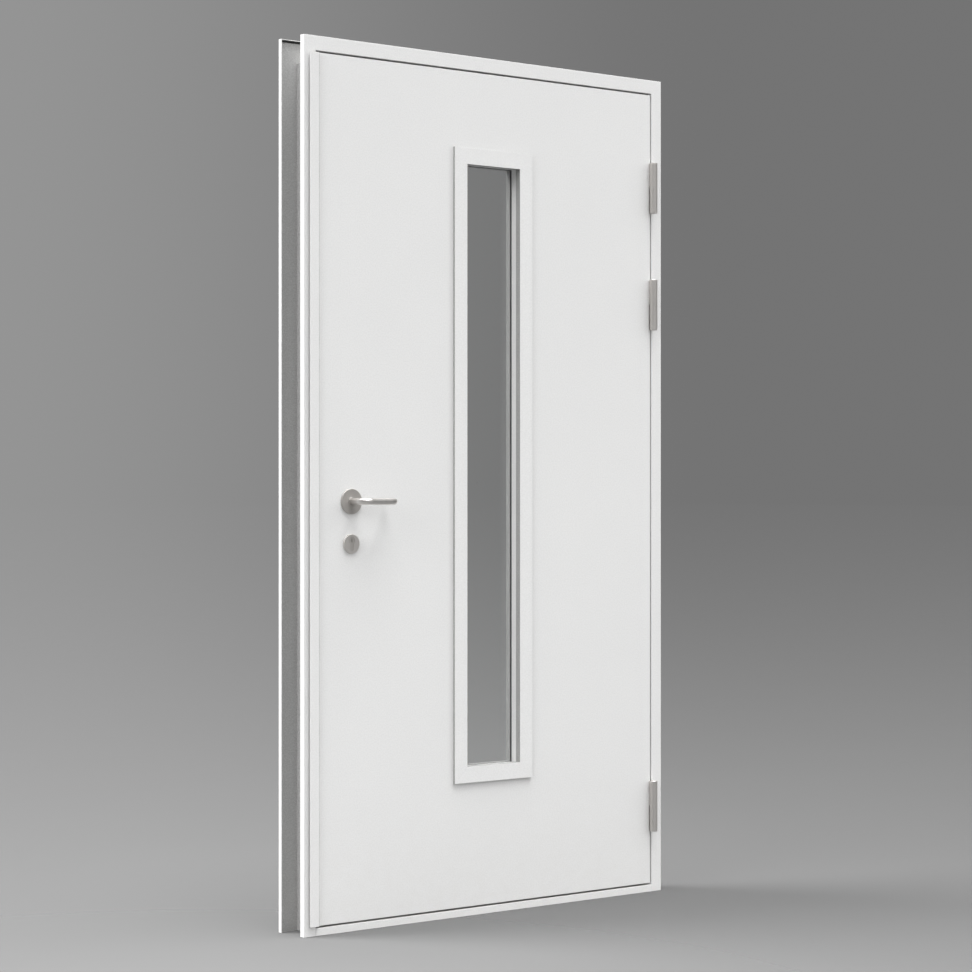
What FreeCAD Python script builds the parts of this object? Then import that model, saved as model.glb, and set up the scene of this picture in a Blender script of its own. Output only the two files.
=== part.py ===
import FreeCAD, Part
import os
from FreeCAD import Vector

# Single leaf steel fire door in a four sided steel frame.
# X runs along the door's width, from the latch side to the hinge side.
# Y runs through the door, the front being the low side. Z is up.
# The origin is the centre of the sill's underside.

# Frame
FRAME_WIDTH = 1150.0
FRAME_HEIGHT = 2100.0
FRAME_DEPTH = 100.0
SHEET = 2.0
FACE = 34.0
STOP = 20.0
FRONT_RETURN = 14.0
REAR_RETURN = 10.5
SILL_FACE = 17.5
SILL_JOINT = 0.8
BEND_RADIUS = 0.7

# Leaf
LEAF_THICKNESS = 44.0
LEAF_SHEET = 1.5
LEAF_EDGE = 0.6
PERIMETER_GAP = 5.0
BACK_GAP = 5.0
SEAL_THICKNESS = 3.0
SEAL_WIDTH = 12.0
SEAL_INSET = 4.0

# Cover strip on the latch edge
STRIP_WIDTH = 27.0
STRIP_SHEET = 1.5
STRIP_LEG = 8.0
STRIP_GAP = 5.0
STRIP_EDGE = 0.4

# Vision panel
VISION_WIDTH = 170.0
VISION_TOP_MARGIN = 226.0
VISION_BOTTOM_MARGIN = 342.5
TRIM_WIDTH = 40.0
TRIM_THICKNESS = 6.0
TRIM_RETURN = 10.0
TRIM_STEP = 1.0
TRIM_EDGE = 0.4
BEAD_WIDTH = 18.0
GLASS_FRONT = 28.0
GLASS_THICKNESS = 7.0
GASKET = 1.0
GLASS_EDGE_GAP = 2.0

# Hinges
HINGE_TOP_MARGIN = 241.0
HINGE_PAIR_SPACING = 302.0
HINGE_BOTTOM_MARGIN = 199.5
HINGE_LENGTH = 130.0
HINGE_RADIUS = 9.5
HINGE_STANDOFF = 11.0
HINGE_SPLIT = 0.4
HINGE_EDGE = 0.7
HINGE_PIN_RADIUS = 5.0
HINGE_PIN_LENGTH = 56.0
HINGE_PIN_CLEARANCE = 0.05
HINGE_PIN_END_GAP = 2.0
HINGE_PLATE = 3.0
HINGE_PLATE_DEPTH = 38.0

# Lever set
BACKSET = 98.0
LEVER_HEIGHT = 1013.0
KEY_SPACING = 100.0
ROSE_RADIUS = 30.0
ROSE_THICKNESS = 4.5
ROSE_EDGE = 1.0
COLLAR_RADIUS = 10.5
COLLAR_HEIGHT = 2.5
COLLAR_EDGE = 0.6
KEY_ROSE_RADIUS = 23.0
BAR_RADIUS = 8.0
BAR_CLEARANCE = 0.5
LEVER_STANDOFF = 52.0
LEVER_BEND = 20.0
LEVER_LENGTH = 99.0
LEVER_TIP_GAP = 12.0
LEVER_TIP_EDGE = 1.5
SPINDLE_SIDE = 8.0
SPINDLE_INSET = 2.0
SPINDLE_HOLE = 7.0

# Lock cylinder
CYLINDER_RADIUS = 8.5
CYLINDER_LEG = 10.0
CYLINDER_HEIGHT = 33.0
CYLINDER_CLEARANCE = 0.3
CYLINDER_SETBACK = 0.4
PLUG_RADIUS = 6.8
PLUG_GROOVE = 0.35
KEYWAY_WIDTH = 2.2
KEYWAY_HEIGHT = 8.5
KEYWAY_DEPTH = 8.0

# Lock plates
LOCK_PLATE_WIDTH = 24.0
LOCK_PLATE_HEIGHT = 235.0
LOCK_PLATE = 3.0
LOCK_PLATE_DROP = 38.0
STRIKE_WIDTH = 30.0
STRIKE_HEIGHT = 210.0
STRIKE_HOLE_WIDTH = 18.0
STRIKE_HOLE_HEIGHT = 32.0

# Wall fixings
FIXING_RADIUS = 4.5
FIXING_MARGIN_LATCH = 250.0
FIXING_MARGIN_HINGE = 330.0
FIXING_SPACING = 500.0

# Derived positions
HALF_W = FRAME_WIDTH / 2
Y0 = -FRAME_DEPTH / 2
REBATE = LEAF_THICKNESS + BACK_GAP + SEAL_THICKNESS
LEAF_LEFT = -HALF_W + FACE + PERIMETER_GAP
LEAF_RIGHT = HALF_W - FACE - PERIMETER_GAP
LEAF_BOTTOM = SILL_FACE + PERIMETER_GAP
LEAF_TOP = FRAME_HEIGHT - FACE - PERIMETER_GAP
TRAY_LEFT = LEAF_LEFT + STRIP_SHEET
HINGE_X = LEAF_RIGHT + PERIMETER_GAP / 2
HINGE_Y = Y0 - HINGE_STANDOFF
LEVER_X = LEAF_LEFT + BACKSET
SIGHT_X = VISION_WIDTH / 2
SIGHT_LOW = LEAF_BOTTOM + VISION_BOTTOM_MARGIN
SIGHT_HIGH = LEAF_TOP - VISION_TOP_MARGIN
SIGHT_Z = (SIGHT_HIGH - SIGHT_LOW) / 2
VISION_CENTRE_Z = (SIGHT_HIGH + SIGHT_LOW) / 2
CUT_X = SIGHT_X + BEAD_WIDTH
CUT_Z = SIGHT_Z + BEAD_WIDTH
GLASS_BACK = GLASS_FRONT + GLASS_THICKNESS
KEY_Z = LEVER_HEIGHT - KEY_SPACING
KEY_CIRCLE_Z = KEY_Z + CYLINDER_HEIGHT / 2 - CYLINDER_RADIUS
LOCK_CENTRE_Z = LEVER_HEIGHT - LOCK_PLATE_DROP
HINGE_TOP_Z = LEAF_TOP - HINGE_TOP_MARGIN
HINGE_CENTRES_Z = (LEAF_BOTTOM + HINGE_BOTTOM_MARGIN, HINGE_TOP_Z - HINGE_PAIR_SPACING, HINGE_TOP_Z)

# Spare length of a cutting tool past the faces that it cuts
OVERCUT = 5.0

os.makedirs("parts", exist_ok=True)


def box(x0, x1, d0, d1, z0, z1):
    """Box whose second pair of values is depth behind the frame's front face."""
    return Part.makeBox(x1 - x0, d1 - d0, z1 - z0, Vector(x0, Y0 + d0, z0))


def prism(points, direction):
    """Solid of a closed outline pushed along a vector."""
    wire = Part.makePolygon(points + [points[0]])
    return Part.Face(wire).extrude(direction)


def rod(centre, axis, radius, length):
    """Round bar from a point along a direction."""
    return Part.makeCylinder(radius, length, centre, axis)


def export(name, shape):
    """Write one named piece."""
    shape.exportStep("parts/" + name + ".step")


def long_edges(shape, axis, length):
    """Edges that run along one axis for the whole length."""
    found = []
    for edge in shape.Edges:
        a = edge.Vertexes[0].Point
        b = edge.Vertexes[-1].Point
        if abs(abs((b - a).dot(axis)) - length) < 0.01:
            found.append(edge)
    return found


def profile_points():
    """Bent sheet section as (distance from the outer edge, depth) pairs."""
    web = FACE + STOP
    s = SHEET
    d = FRAME_DEPTH
    return [
        (0, FRONT_RETURN), (0, 0), (FACE, 0), (FACE, REBATE), (web, REBATE), (web, d),
        (0, d), (0, d - REAR_RETURN), (s, d - REAR_RETURN), (s, d - s),
        (web - s, d - s), (web - s, REBATE + s), (FACE - s, REBATE + s), (FACE - s, s),
        (s, s), (s, FRONT_RETURN),
    ]


def soften(shape, axis, length, corners, radius=BEND_RADIUS):
    """Round the edges of a straight profile that start at the given corners."""
    picked = []
    for edge in long_edges(shape, axis, length):
        p = edge.Vertexes[0].Point
        for c in corners:
            q = p - c
            off = q - axis * q.dot(axis)
            if off.Length < 0.01:
                picked.append(edge)
    return shape.makeFillet(radius, picked)


def rims(shape, y):
    """Round edges whose centre lies at one depth through the door."""
    return [e for e in shape.Edges if e.Curve.TypeId == "Part::GeomCircle"
            and abs(e.CenterOfMass.y - y) < 0.01]


# Frame members
def jamb(side):
    """Jamb with a mitred top; side is -1 at the latch and +1 at the hinges."""
    outer = side * HALF_W

    def at(u, d, z=0.0):
        return Vector(outer - side * u, Y0 + d, z)

    body = prism([at(u, d) for u, d in profile_points()], Vector(0, 0, FRAME_HEIGHT))
    web = FACE + STOP
    turns = [at(0, 0), at(FACE, 0), at(web, REBATE), at(web, FRAME_DEPTH), at(0, FRAME_DEPTH)]
    body = soften(body, Vector(0, 0, 1), FRAME_HEIGHT, turns)
    c = OVERCUT
    big = web + c
    wedge = prism(
        [at(0, -c, FRAME_HEIGHT), at(big, -c, FRAME_HEIGHT - big), at(big, -c, FRAME_HEIGHT + c),
         at(0, -c, FRAME_HEIGHT + c)],
        Vector(0, FRAME_DEPTH + 2 * c, 0),
    )
    return body.cut(wedge)


def head():
    """Head with both ends mitred."""

    def at(u, d, x=-HALF_W):
        return Vector(x, Y0 + d, FRAME_HEIGHT - u)

    body = prism([at(u, d) for u, d in profile_points()], Vector(FRAME_WIDTH, 0, 0))
    web = FACE + STOP
    turns = [at(0, 0), at(FACE, 0), at(web, REBATE), at(web, FRAME_DEPTH), at(0, FRAME_DEPTH)]
    body = soften(body, Vector(1, 0, 0), FRAME_WIDTH, turns)
    c = OVERCUT
    big = web + c
    for side in (-1, 1):
        wedge = prism(
            [at(0, -c, side * HALF_W), at(big, -c, side * (HALF_W - big)),
             at(big, -c, side * (HALF_W + c)), at(0, -c, side * (HALF_W + c))],
            Vector(0, FRAME_DEPTH + 2 * c, 0),
        )
        body = body.cut(wedge)
    return body


def sill():
    """Closed hollow sill section with a raised stop, fitted between the jambs."""
    x0 = -HALF_W + FACE + SILL_JOINT
    length = -2 * x0
    top = SILL_FACE + STOP
    outer = [(0, 0), (FRAME_DEPTH, 0), (FRAME_DEPTH, top), (REBATE, top), (REBATE, SILL_FACE),
             (0, SILL_FACE)]
    s = SHEET
    inner = [(s, s), (FRAME_DEPTH - s, s), (FRAME_DEPTH - s, top - s), (REBATE + s, top - s),
             (REBATE + s, SILL_FACE - s), (s, SILL_FACE - s)]

    def at(pair):
        return Vector(x0, Y0 + pair[0], pair[1])

    body = prism([at(p) for p in outer], Vector(length, 0, 0))
    turns = [at(outer[5]), at(outer[3]), at(outer[2])]
    body = soften(body, Vector(1, 0, 0), length, turns)
    body = body.cut(prism([at(p) for p in inner], Vector(length, 0, 0)))
    for side in (-1, 1):
        stop = -side * x0 - side * STOP
        lo = min(stop, stop + side * (STOP + OVERCUT))
        body = body.cut(box(lo, lo + STOP + OVERCUT, REBATE, FRAME_DEPTH + OVERCUT, -OVERCUT,
                            top + OVERCUT))
    return body


# Hinge positions and plates
def hinge_plate(side, z):
    """Flat hinge wing let into the jamb (side +1) or into the leaf's edge (side -1)."""
    inner = HINGE_X + side * PERIMETER_GAP / 2
    lo = min(inner, inner + side * HINGE_PLATE)
    return box(lo, lo + HINGE_PLATE, 0, HINGE_PLATE_DEPTH, z - HINGE_LENGTH / 2, z + HINGE_LENGTH / 2)


def hinge_half(side, z):
    """Knuckle, neck and wing; the frame's half stands below and carries the pin."""
    half = (HINGE_LENGTH - HINGE_SPLIT) / 2
    low = z - HINGE_LENGTH / 2 if side > 0 else z + HINGE_SPLIT / 2
    inner = HINGE_X + side * PERIMETER_GAP / 2
    lo = min(inner, inner + side * HINGE_PLATE)
    knuckle = rod(Vector(HINGE_X, HINGE_Y, low), Vector(0, 0, 1), HINGE_RADIUS, half)
    outer_end = low if side > 0 else low + half
    ends = [e for e in knuckle.Edges if e.Curve.TypeId == "Part::GeomCircle"
            and abs(e.CenterOfMass.z - outer_end) < 0.01]
    knuckle = knuckle.makeChamfer(HINGE_EDGE, ends)
    neck = box(lo, lo + HINGE_PLATE, -HINGE_STANDOFF, 0, low, low + half)
    body = knuckle.fuse(neck)
    if side > 0:
        reach = HINGE_SPLIT + HINGE_PIN_LENGTH
        pin = rod(Vector(HINGE_X, HINGE_Y, low + half), Vector(0, 0, 1), HINGE_PIN_RADIUS, reach)
        body = body.fuse(pin)
    else:
        bore = HINGE_PIN_RADIUS + HINGE_PIN_CLEARANCE
        depth = HINGE_PIN_LENGTH + HINGE_PIN_END_GAP
        body = body.cut(rod(Vector(HINGE_X, HINGE_Y, low), Vector(0, 0, 1), bore, depth))
    return body.fuse(hinge_plate(side, z)).removeSplitter()


jamb_latch = jamb(-1)
jamb_hinge = jamb(1)
for z in HINGE_CENTRES_Z:
    jamb_hinge = jamb_hinge.cut(hinge_plate(1, z))

# Strike plate, let into the latch jamb
strike_mid = LEAF_THICKNESS / 2
strike_x = -HALF_W + FACE
strike_lo = LOCK_CENTRE_Z - STRIKE_HEIGHT / 2
strike = box(strike_x - SHEET, strike_x, strike_mid - STRIKE_WIDTH / 2, strike_mid + STRIKE_WIDTH / 2,
             strike_lo, strike_lo + STRIKE_HEIGHT)
jamb_latch = jamb_latch.cut(strike)
for z in (LEVER_HEIGHT, KEY_Z):
    strike = strike.cut(box(strike_x - SHEET - OVERCUT, strike_x + OVERCUT,
                            strike_mid - STRIKE_HOLE_WIDTH / 2, strike_mid + STRIKE_HOLE_WIDTH / 2,
                            z - STRIKE_HOLE_HEIGHT / 2, z + STRIKE_HOLE_HEIGHT / 2))
export("strike_plate", strike)

# Wall fixing holes through the jambs behind the leaf
fixing_depth = (REBATE + FRAME_DEPTH) / 2


def fixing_holes(side, margin):
    """A lower and an upper pair of fixing holes through one jamb's soffit."""
    start = Vector(side * HALF_W, Y0 + fixing_depth, 0)
    heights = [margin, margin + FIXING_SPACING]
    heights += [FRAME_HEIGHT - z for z in heights]
    holes = [rod(start + Vector(0, 0, z), Vector(-side, 0, 0), FIXING_RADIUS, HALF_W)
             for z in heights]
    return holes[0].fuse(holes[1:])


jamb_latch = jamb_latch.cut(fixing_holes(-1, FIXING_MARGIN_LATCH))
jamb_hinge = jamb_hinge.cut(fixing_holes(1, FIXING_MARGIN_HINGE))
export("frame_jamb_latch", jamb_latch)
export("frame_jamb_hinge", jamb_hinge)
export("frame_head", head())
export("frame_sill", sill())

# Seals on the stops
seal_lo = FACE + SEAL_INSET
seal_hi = seal_lo + SEAL_WIDTH
seal_d0 = REBATE - SEAL_THICKNESS
seal_bottom = SILL_FACE + SEAL_INSET + SEAL_WIDTH
for name, side in (("seal_latch", -1), ("seal_hinge", 1)):
    a = side * (HALF_W - seal_lo)
    b = side * (HALF_W - seal_hi)
    export(name, box(min(a, b), max(a, b), seal_d0, REBATE, seal_bottom, FRAME_HEIGHT - seal_hi))
export("seal_head", box(-HALF_W + seal_lo, HALF_W - seal_lo, seal_d0, REBATE,
                        FRAME_HEIGHT - seal_hi, FRAME_HEIGHT - seal_lo))
export("seal_sill", box(-HALF_W + seal_lo, HALF_W - seal_lo, seal_d0, REBATE,
                        SILL_FACE + SEAL_INSET, seal_bottom))

# Hinges
for number, z in enumerate(HINGE_CENTRES_Z, 1):
    export("hinge_frame_%d" % number, hinge_half(1, z))
    export("hinge_leaf_%d" % number, hinge_half(-1, z))

# Lock faceplate in the leaf's latch edge
face_lo = LOCK_CENTRE_Z - LOCK_PLATE_HEIGHT / 2
faceplate = box(LEAF_LEFT, LEAF_LEFT + LOCK_PLATE, strike_mid - LOCK_PLATE_WIDTH / 2,
                strike_mid + LOCK_PLATE_WIDTH / 2, face_lo, face_lo + LOCK_PLATE_HEIGHT)
export("lock_faceplate", faceplate)

# Leaf
cut_z0 = VISION_CENTRE_Z - CUT_Z
cut_z1 = VISION_CENTRE_Z + CUT_Z
t = LEAF_SHEET
window = box(-CUT_X, CUT_X, -OVERCUT, LEAF_THICKNESS + OVERCUT, cut_z0, cut_z1)
spindle_hole = rod(Vector(LEVER_X, Y0 - OVERCUT, LEVER_HEIGHT), Vector(0, 1, 0), SPINDLE_HOLE,
                   LEAF_THICKNESS + 2 * OVERCUT)
let_in = [faceplate] + [hinge_plate(-1, z) for z in HINGE_CENTRES_Z]


def cylinder_bar(grow, d0, d1):
    """Bar of the lock cylinder's outline, a circle over a narrower round ended leg."""
    depth = d1 - d0
    leg = CYLINDER_LEG / 2
    foot = KEY_Z - CYLINDER_HEIGHT / 2 + leg
    way = Vector(0, 1, 0)
    bar = rod(Vector(LEVER_X, Y0 + d0, KEY_CIRCLE_Z), way, CYLINDER_RADIUS + grow, depth)
    bar = bar.fuse([rod(Vector(LEVER_X, Y0 + d0, foot), way, leg + grow, depth),
                    box(LEVER_X - leg - grow, LEVER_X + leg + grow, d0, d1, foot, KEY_CIRCLE_Z)])
    return bar.removeSplitter()


cylinder_hole = cylinder_bar(CYLINDER_CLEARANCE, -OVERCUT, LEAF_THICKNESS + OVERCUT)


def fitted(shape):
    """Take the let-in plates and the lever's and lock's holes out of a leaf piece."""
    for tool in let_in + [spindle_hole, cylinder_hole]:
        shape = shape.cut(tool)
    return shape


tray = box(TRAY_LEFT, LEAF_RIGHT, 0, LEAF_THICKNESS - t, LEAF_BOTTOM, LEAF_TOP)
folds = [e for e in tray.Edges if all(abs(v.Point.y - Y0) < 0.01 for v in e.Vertexes)]
tray = tray.makeFillet(LEAF_EDGE, folds)
tray = tray.cut(box(TRAY_LEFT + t, LEAF_RIGHT - t, t, LEAF_THICKNESS, LEAF_BOTTOM + t, LEAF_TOP - t))
export("leaf_front_tray", fitted(tray.cut(window)))
back = box(TRAY_LEFT, LEAF_RIGHT, LEAF_THICKNESS - t, LEAF_THICKNESS, LEAF_BOTTOM, LEAF_TOP)
export("leaf_back_sheet", fitted(back.cut(window)))
core_low = LEAF_BOTTOM + t
core_high = LEAF_TOP - t
core_back = LEAF_THICKNESS - t
export("leaf_core_latch", fitted(box(TRAY_LEFT + t, -CUT_X, t, core_back, core_low, core_high)))
export("leaf_core_hinge", fitted(box(CUT_X, LEAF_RIGHT - t, t, core_back, core_low, core_high)))
export("leaf_core_top", box(-CUT_X, CUT_X, t, core_back, cut_z1, core_high))
export("leaf_core_bottom", box(-CUT_X, CUT_X, t, core_back, core_low, cut_z0))

# Cover strip over the latch gap, with its leg on the leaf's edge
flange_d1 = -STRIP_GAP
flange_d0 = flange_d1 - STRIP_SHEET
strip = box(TRAY_LEFT - STRIP_WIDTH, TRAY_LEFT, flange_d0, flange_d1, LEAF_BOTTOM, LEAF_TOP)
strip = strip.fuse(box(LEAF_LEFT, TRAY_LEFT, flange_d0, STRIP_LEG, LEAF_BOTTOM, LEAF_TOP))
strip_faces = [Vector(x, Y0 + flange_d0, LEAF_BOTTOM) for x in (TRAY_LEFT - STRIP_WIDTH, TRAY_LEFT)]
strip = soften(strip.removeSplitter(), Vector(0, 0, 1), LEAF_TOP - LEAF_BOTTOM, strip_faces, STRIP_EDGE)
export("latch_cover_strip", strip)

# Glazing
zc = VISION_CENTRE_Z


def ring(half_x, half_z, width, d0, d1):
    """Flat rectangular ring around the vision panel's centre."""
    outer = box(-half_x - width, half_x + width, d0, d1, zc - half_z - width, zc + half_z + width)
    inner = box(-half_x, half_x, d0 - OVERCUT, d1 + OVERCUT, zc - half_z, zc + half_z)
    return outer.cut(inner)


def trim_bar(section, where):
    """One mitred bar of a glazing trim.

    The section holds (distance from the sight line, depth) pairs, the two on its face first.
    """
    hx = SIGHT_X
    hz = SIGHT_Z
    w = TRIM_WIDTH
    y = Y0 - TRIM_THICKNESS - OVERCUT
    if where in ("latch", "hinge"):
        s = -1 if where == "latch" else 1
        pts = [Vector(s * (hx + u), Y0 + d, zc - hz - w) for u, d in section]
        run = Vector(0, 0, 2 * (hz + w))
        keep = [Vector(s * hx, y, zc - hz), Vector(s * (hx + w), y, zc - hz - w),
                Vector(s * (hx + w), y, zc + hz + w), Vector(s * hx, y, zc + hz)]
    else:
        s = -1 if where == "bottom" else 1
        pts = [Vector(-hx - w, Y0 + d, zc + s * (hz + u)) for u, d in section]
        run = Vector(2 * (hx + w), 0, 0)
        keep = [Vector(-hx, y, zc + s * hz), Vector(-hx - w, y, zc + s * (hz + w)),
                Vector(hx + w, y, zc + s * (hz + w)), Vector(hx, y, zc + s * hz)]
    axis = Vector(run).normalize()
    body = soften(prism(pts, run), axis, run.Length, pts[:2], TRIM_EDGE)
    depth = LEAF_THICKNESS + 2 * (TRIM_THICKNESS + OVERCUT)
    return body.common(prism(keep, Vector(0, depth, 0)))


front_section = [
    (0, -TRIM_THICKNESS), (TRIM_WIDTH, -TRIM_THICKNESS), (TRIM_WIDTH, 0), (BEAD_WIDTH, 0),
    (BEAD_WIDTH, GLASS_FRONT - GASKET), (TRIM_STEP, GLASS_FRONT - GASKET),
    (TRIM_STEP, TRIM_RETURN), (0, TRIM_RETURN),
]
back_face = LEAF_THICKNESS + TRIM_THICKNESS
back_section = [
    (0, back_face), (TRIM_WIDTH, back_face), (TRIM_WIDTH, LEAF_THICKNESS),
    (BEAD_WIDTH, LEAF_THICKNESS), (BEAD_WIDTH, GLASS_BACK + GASKET), (0, GLASS_BACK + GASKET),
]
for where in ("latch", "hinge", "top", "bottom"):
    export("trim_front_" + where, trim_bar(front_section, where))
    export("trim_back_" + where, trim_bar(back_section, where))
export("gasket_front", ring(SIGHT_X, SIGHT_Z, BEAD_WIDTH, GLASS_FRONT - GASKET, GLASS_FRONT))
export("gasket_back", ring(SIGHT_X, SIGHT_Z, BEAD_WIDTH, GLASS_BACK, GLASS_BACK + GASKET))
gx = CUT_X - GLASS_EDGE_GAP
gz = CUT_Z - GLASS_EDGE_GAP
export("glass_pane", box(-gx, gx, GLASS_FRONT, GLASS_BACK, zc - gz, zc + gz))


# Lever set on both faces
def outward(side, depth):
    """Point on the spindle line, a distance out from the leaf's front (-1) or back (+1)."""
    face = 0.0 if side < 0 else LEAF_THICKNESS
    return Y0 + face + side * depth


def rose(side, z, radius, bore):
    """Round rose on one face of the leaf."""
    way = Vector(0, side, 0)
    base = Vector(LEVER_X, outward(side, 0), z)
    body = rod(base, way, radius, ROSE_THICKNESS)
    body = body.makeFillet(ROSE_EDGE, rims(body, outward(side, ROSE_THICKNESS)))
    if bore:
        top = Vector(LEVER_X, outward(side, ROSE_THICKNESS), z)
        collar = rod(top, way, COLLAR_RADIUS, COLLAR_HEIGHT)
        collar = collar.makeFillet(COLLAR_EDGE, rims(collar, outward(side, ROSE_THICKNESS + COLLAR_HEIGHT)))
        body = body.fuse(collar).removeSplitter()
        depth = ROSE_THICKNESS + COLLAR_HEIGHT + OVERCUT
        body = body.cut(rod(base, way, BAR_RADIUS + BAR_CLEARANCE, depth))
    return body


def key_rose(side):
    """Smaller rose round the lock cylinder."""
    return rose(side, KEY_Z, KEY_ROSE_RADIUS, False).cut(cylinder_through)


def keyway(end, inward):
    """Groove round the plug and the key's slot, cut into one end of the lock cylinder."""
    way = Vector(0, inward, 0)
    centre = Vector(LEVER_X, end, KEY_CIRCLE_Z)
    groove = rod(centre, way, PLUG_RADIUS, PLUG_GROOVE)
    groove = groove.cut(rod(centre, way, PLUG_RADIUS - PLUG_GROOVE, PLUG_GROOVE))
    low = min(end, end + inward * KEYWAY_DEPTH)
    slot = Part.makeBox(KEYWAY_WIDTH, KEYWAY_DEPTH, KEYWAY_HEIGHT,
                        Vector(LEVER_X - KEYWAY_WIDTH / 2, low, KEY_CIRCLE_Z - KEYWAY_HEIGHT / 2))
    return groove.fuse(slot)


def lever(side):
    """Round bar lever that turns back towards the leaf at its end."""
    z = LEVER_HEIGHT
    r = BAR_RADIUS
    b = LEVER_BEND
    way = Vector(0, side, 0)
    tip_x = LEVER_X + LEVER_LENGTH
    neck = rod(Vector(LEVER_X, outward(side, SPINDLE_INSET), z), way, r,
               LEVER_STANDOFF - b - SPINDLE_INSET)
    grip = rod(Vector(LEVER_X + b, outward(side, LEVER_STANDOFF), z), Vector(1, 0, 0), r,
               LEVER_LENGTH - 2 * b)
    tail = rod(Vector(tip_x, outward(side, LEVER_TIP_GAP), z), way, r,
               LEVER_STANDOFF - b - LEVER_TIP_GAP)
    tail = tail.makeFillet(LEVER_TIP_EDGE, rims(tail, outward(side, LEVER_TIP_GAP)))
    pieces = neck.fuse([grip, tail])
    for centre_x, start_x in ((LEVER_X + b, LEVER_X), (tip_x - b, tip_x)):
        middle = Vector(centre_x, outward(side, LEVER_STANDOFF - b), z)
        circle = Part.Circle(Vector(start_x, middle.y, z), way, r)
        disc = Part.Face(Part.Wire(circle.toShape()))
        turn = -side if start_x < centre_x else side
        pieces = pieces.fuse(disc.revolve(middle, Vector(0, 0, turn), 90))
    return pieces.removeSplitter()


cylinder_out = ROSE_THICKNESS - CYLINDER_SETBACK
cylinder_through = cylinder_bar(CYLINDER_CLEARANCE, -ROSE_THICKNESS - OVERCUT,
                                LEAF_THICKNESS + ROSE_THICKNESS + OVERCUT)
cylinder = cylinder_bar(0, -cylinder_out, LEAF_THICKNESS + cylinder_out)
for side in (-1, 1):
    cylinder = cylinder.cut(keyway(outward(side, cylinder_out), -side))
export("lock_cylinder", cylinder)
for name, side in (("front", -1), ("back", 1)):
    export("handle_rose_" + name, rose(side, LEVER_HEIGHT, ROSE_RADIUS, True))
    export("key_rose_" + name, key_rose(side))
    export("lever_" + name, lever(side))
half = SPINDLE_SIDE / 2
export("spindle", box(LEVER_X - half, LEVER_X + half, -SPINDLE_INSET, LEAF_THICKNESS + SPINDLE_INSET,
                      LEVER_HEIGHT - half, LEVER_HEIGHT + half))
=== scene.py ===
"""Looks of a white steel fire door with a narrow glazed panel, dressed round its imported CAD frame."""

import logging
import math
from collections.abc import Callable, Iterator
from contextlib import contextmanager
from dataclasses import dataclass, field, replace
from enum import Enum

import bmesh
import bpy
from mathutils import Euler, Matrix, Vector


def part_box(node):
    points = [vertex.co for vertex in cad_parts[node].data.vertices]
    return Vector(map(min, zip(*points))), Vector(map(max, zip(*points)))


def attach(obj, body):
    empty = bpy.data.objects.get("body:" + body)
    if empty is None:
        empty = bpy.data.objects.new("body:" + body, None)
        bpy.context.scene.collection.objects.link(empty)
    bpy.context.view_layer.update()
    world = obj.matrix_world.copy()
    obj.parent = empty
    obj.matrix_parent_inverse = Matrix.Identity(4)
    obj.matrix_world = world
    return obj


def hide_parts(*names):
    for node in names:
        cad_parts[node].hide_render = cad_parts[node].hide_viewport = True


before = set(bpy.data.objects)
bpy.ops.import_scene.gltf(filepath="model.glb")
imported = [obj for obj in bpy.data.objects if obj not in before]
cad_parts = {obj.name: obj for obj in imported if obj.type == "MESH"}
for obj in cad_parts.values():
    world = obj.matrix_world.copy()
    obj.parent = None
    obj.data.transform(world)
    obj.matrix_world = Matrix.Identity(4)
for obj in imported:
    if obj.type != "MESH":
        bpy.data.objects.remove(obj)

LOG = logging.getLogger("fire_door")

Colour = tuple[float, float, float]
Point = tuple[float, float, float]
Limits = tuple[float, float]
Material = bpy.types.Material
Node = bpy.types.Node
Piece = bpy.types.Object
Socket = bpy.types.NodeSocket
Tree = bpy.types.NodeTree

# Distance in metres within which a corner counts as lying in a plane
PLAY = 1e-5
# Cosine above which a face counts as looking along an axis
SQUARE = 0.99
# Cosine below which an edge counts as lying across an axis
ACROSS = 0.1
# Values between which most of a noise lies
USUAL_BAND: Limits = (0.3, 0.7)

# Numbers of a Mix node's sockets where it mixes colours
MIX_FIRST = 6
MIX_SECOND = 7
MIX_RESULT = 2


class Side(Enum):
    """The two faces of the door; the value is the outward direction along Y."""

    FRONT = -1
    BACK = 1


class ShadeZone(Enum):
    """Zones of painted shade: a grey laid over the coat in hollows and returns that lie in shade."""

    NONE = "none"
    WALL_SIDE = "wall side"
    TRIM_RETURNS = "trim returns"


class GrainWay(Enum):
    """Direction in which a metal surface was brushed."""

    UPRIGHT = "upright"
    LEVEL = "level"
    TURNED = "turned"


# Node sheets and shared effects


@dataclass(frozen=True)
class Noise:
    """A noise pattern and the band of its values that counts.

    Attributes:
        scale: features per metre, unless a socket gives them.
        detail: number of finer layers.
        roughness: strength of the finer layers.
        band: values of the noise that give the two results.
        result: results at the ends of the band.
    """

    scale: float = 1.0
    detail: float = 2.0
    roughness: float = 0.5
    band: Limits = USUAL_BAND
    result: Limits = (0.0, 1.0)


def blank_tree(owner: Material | bpy.types.World) -> Tree:
    """Clear the nodes of a material or a world.

    Args:
        owner: the material or the world.

    Returns:
        Its empty node tree.
    """
    owner.use_nodes = True
    owner.node_tree.nodes.clear()
    return owner.node_tree


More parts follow.
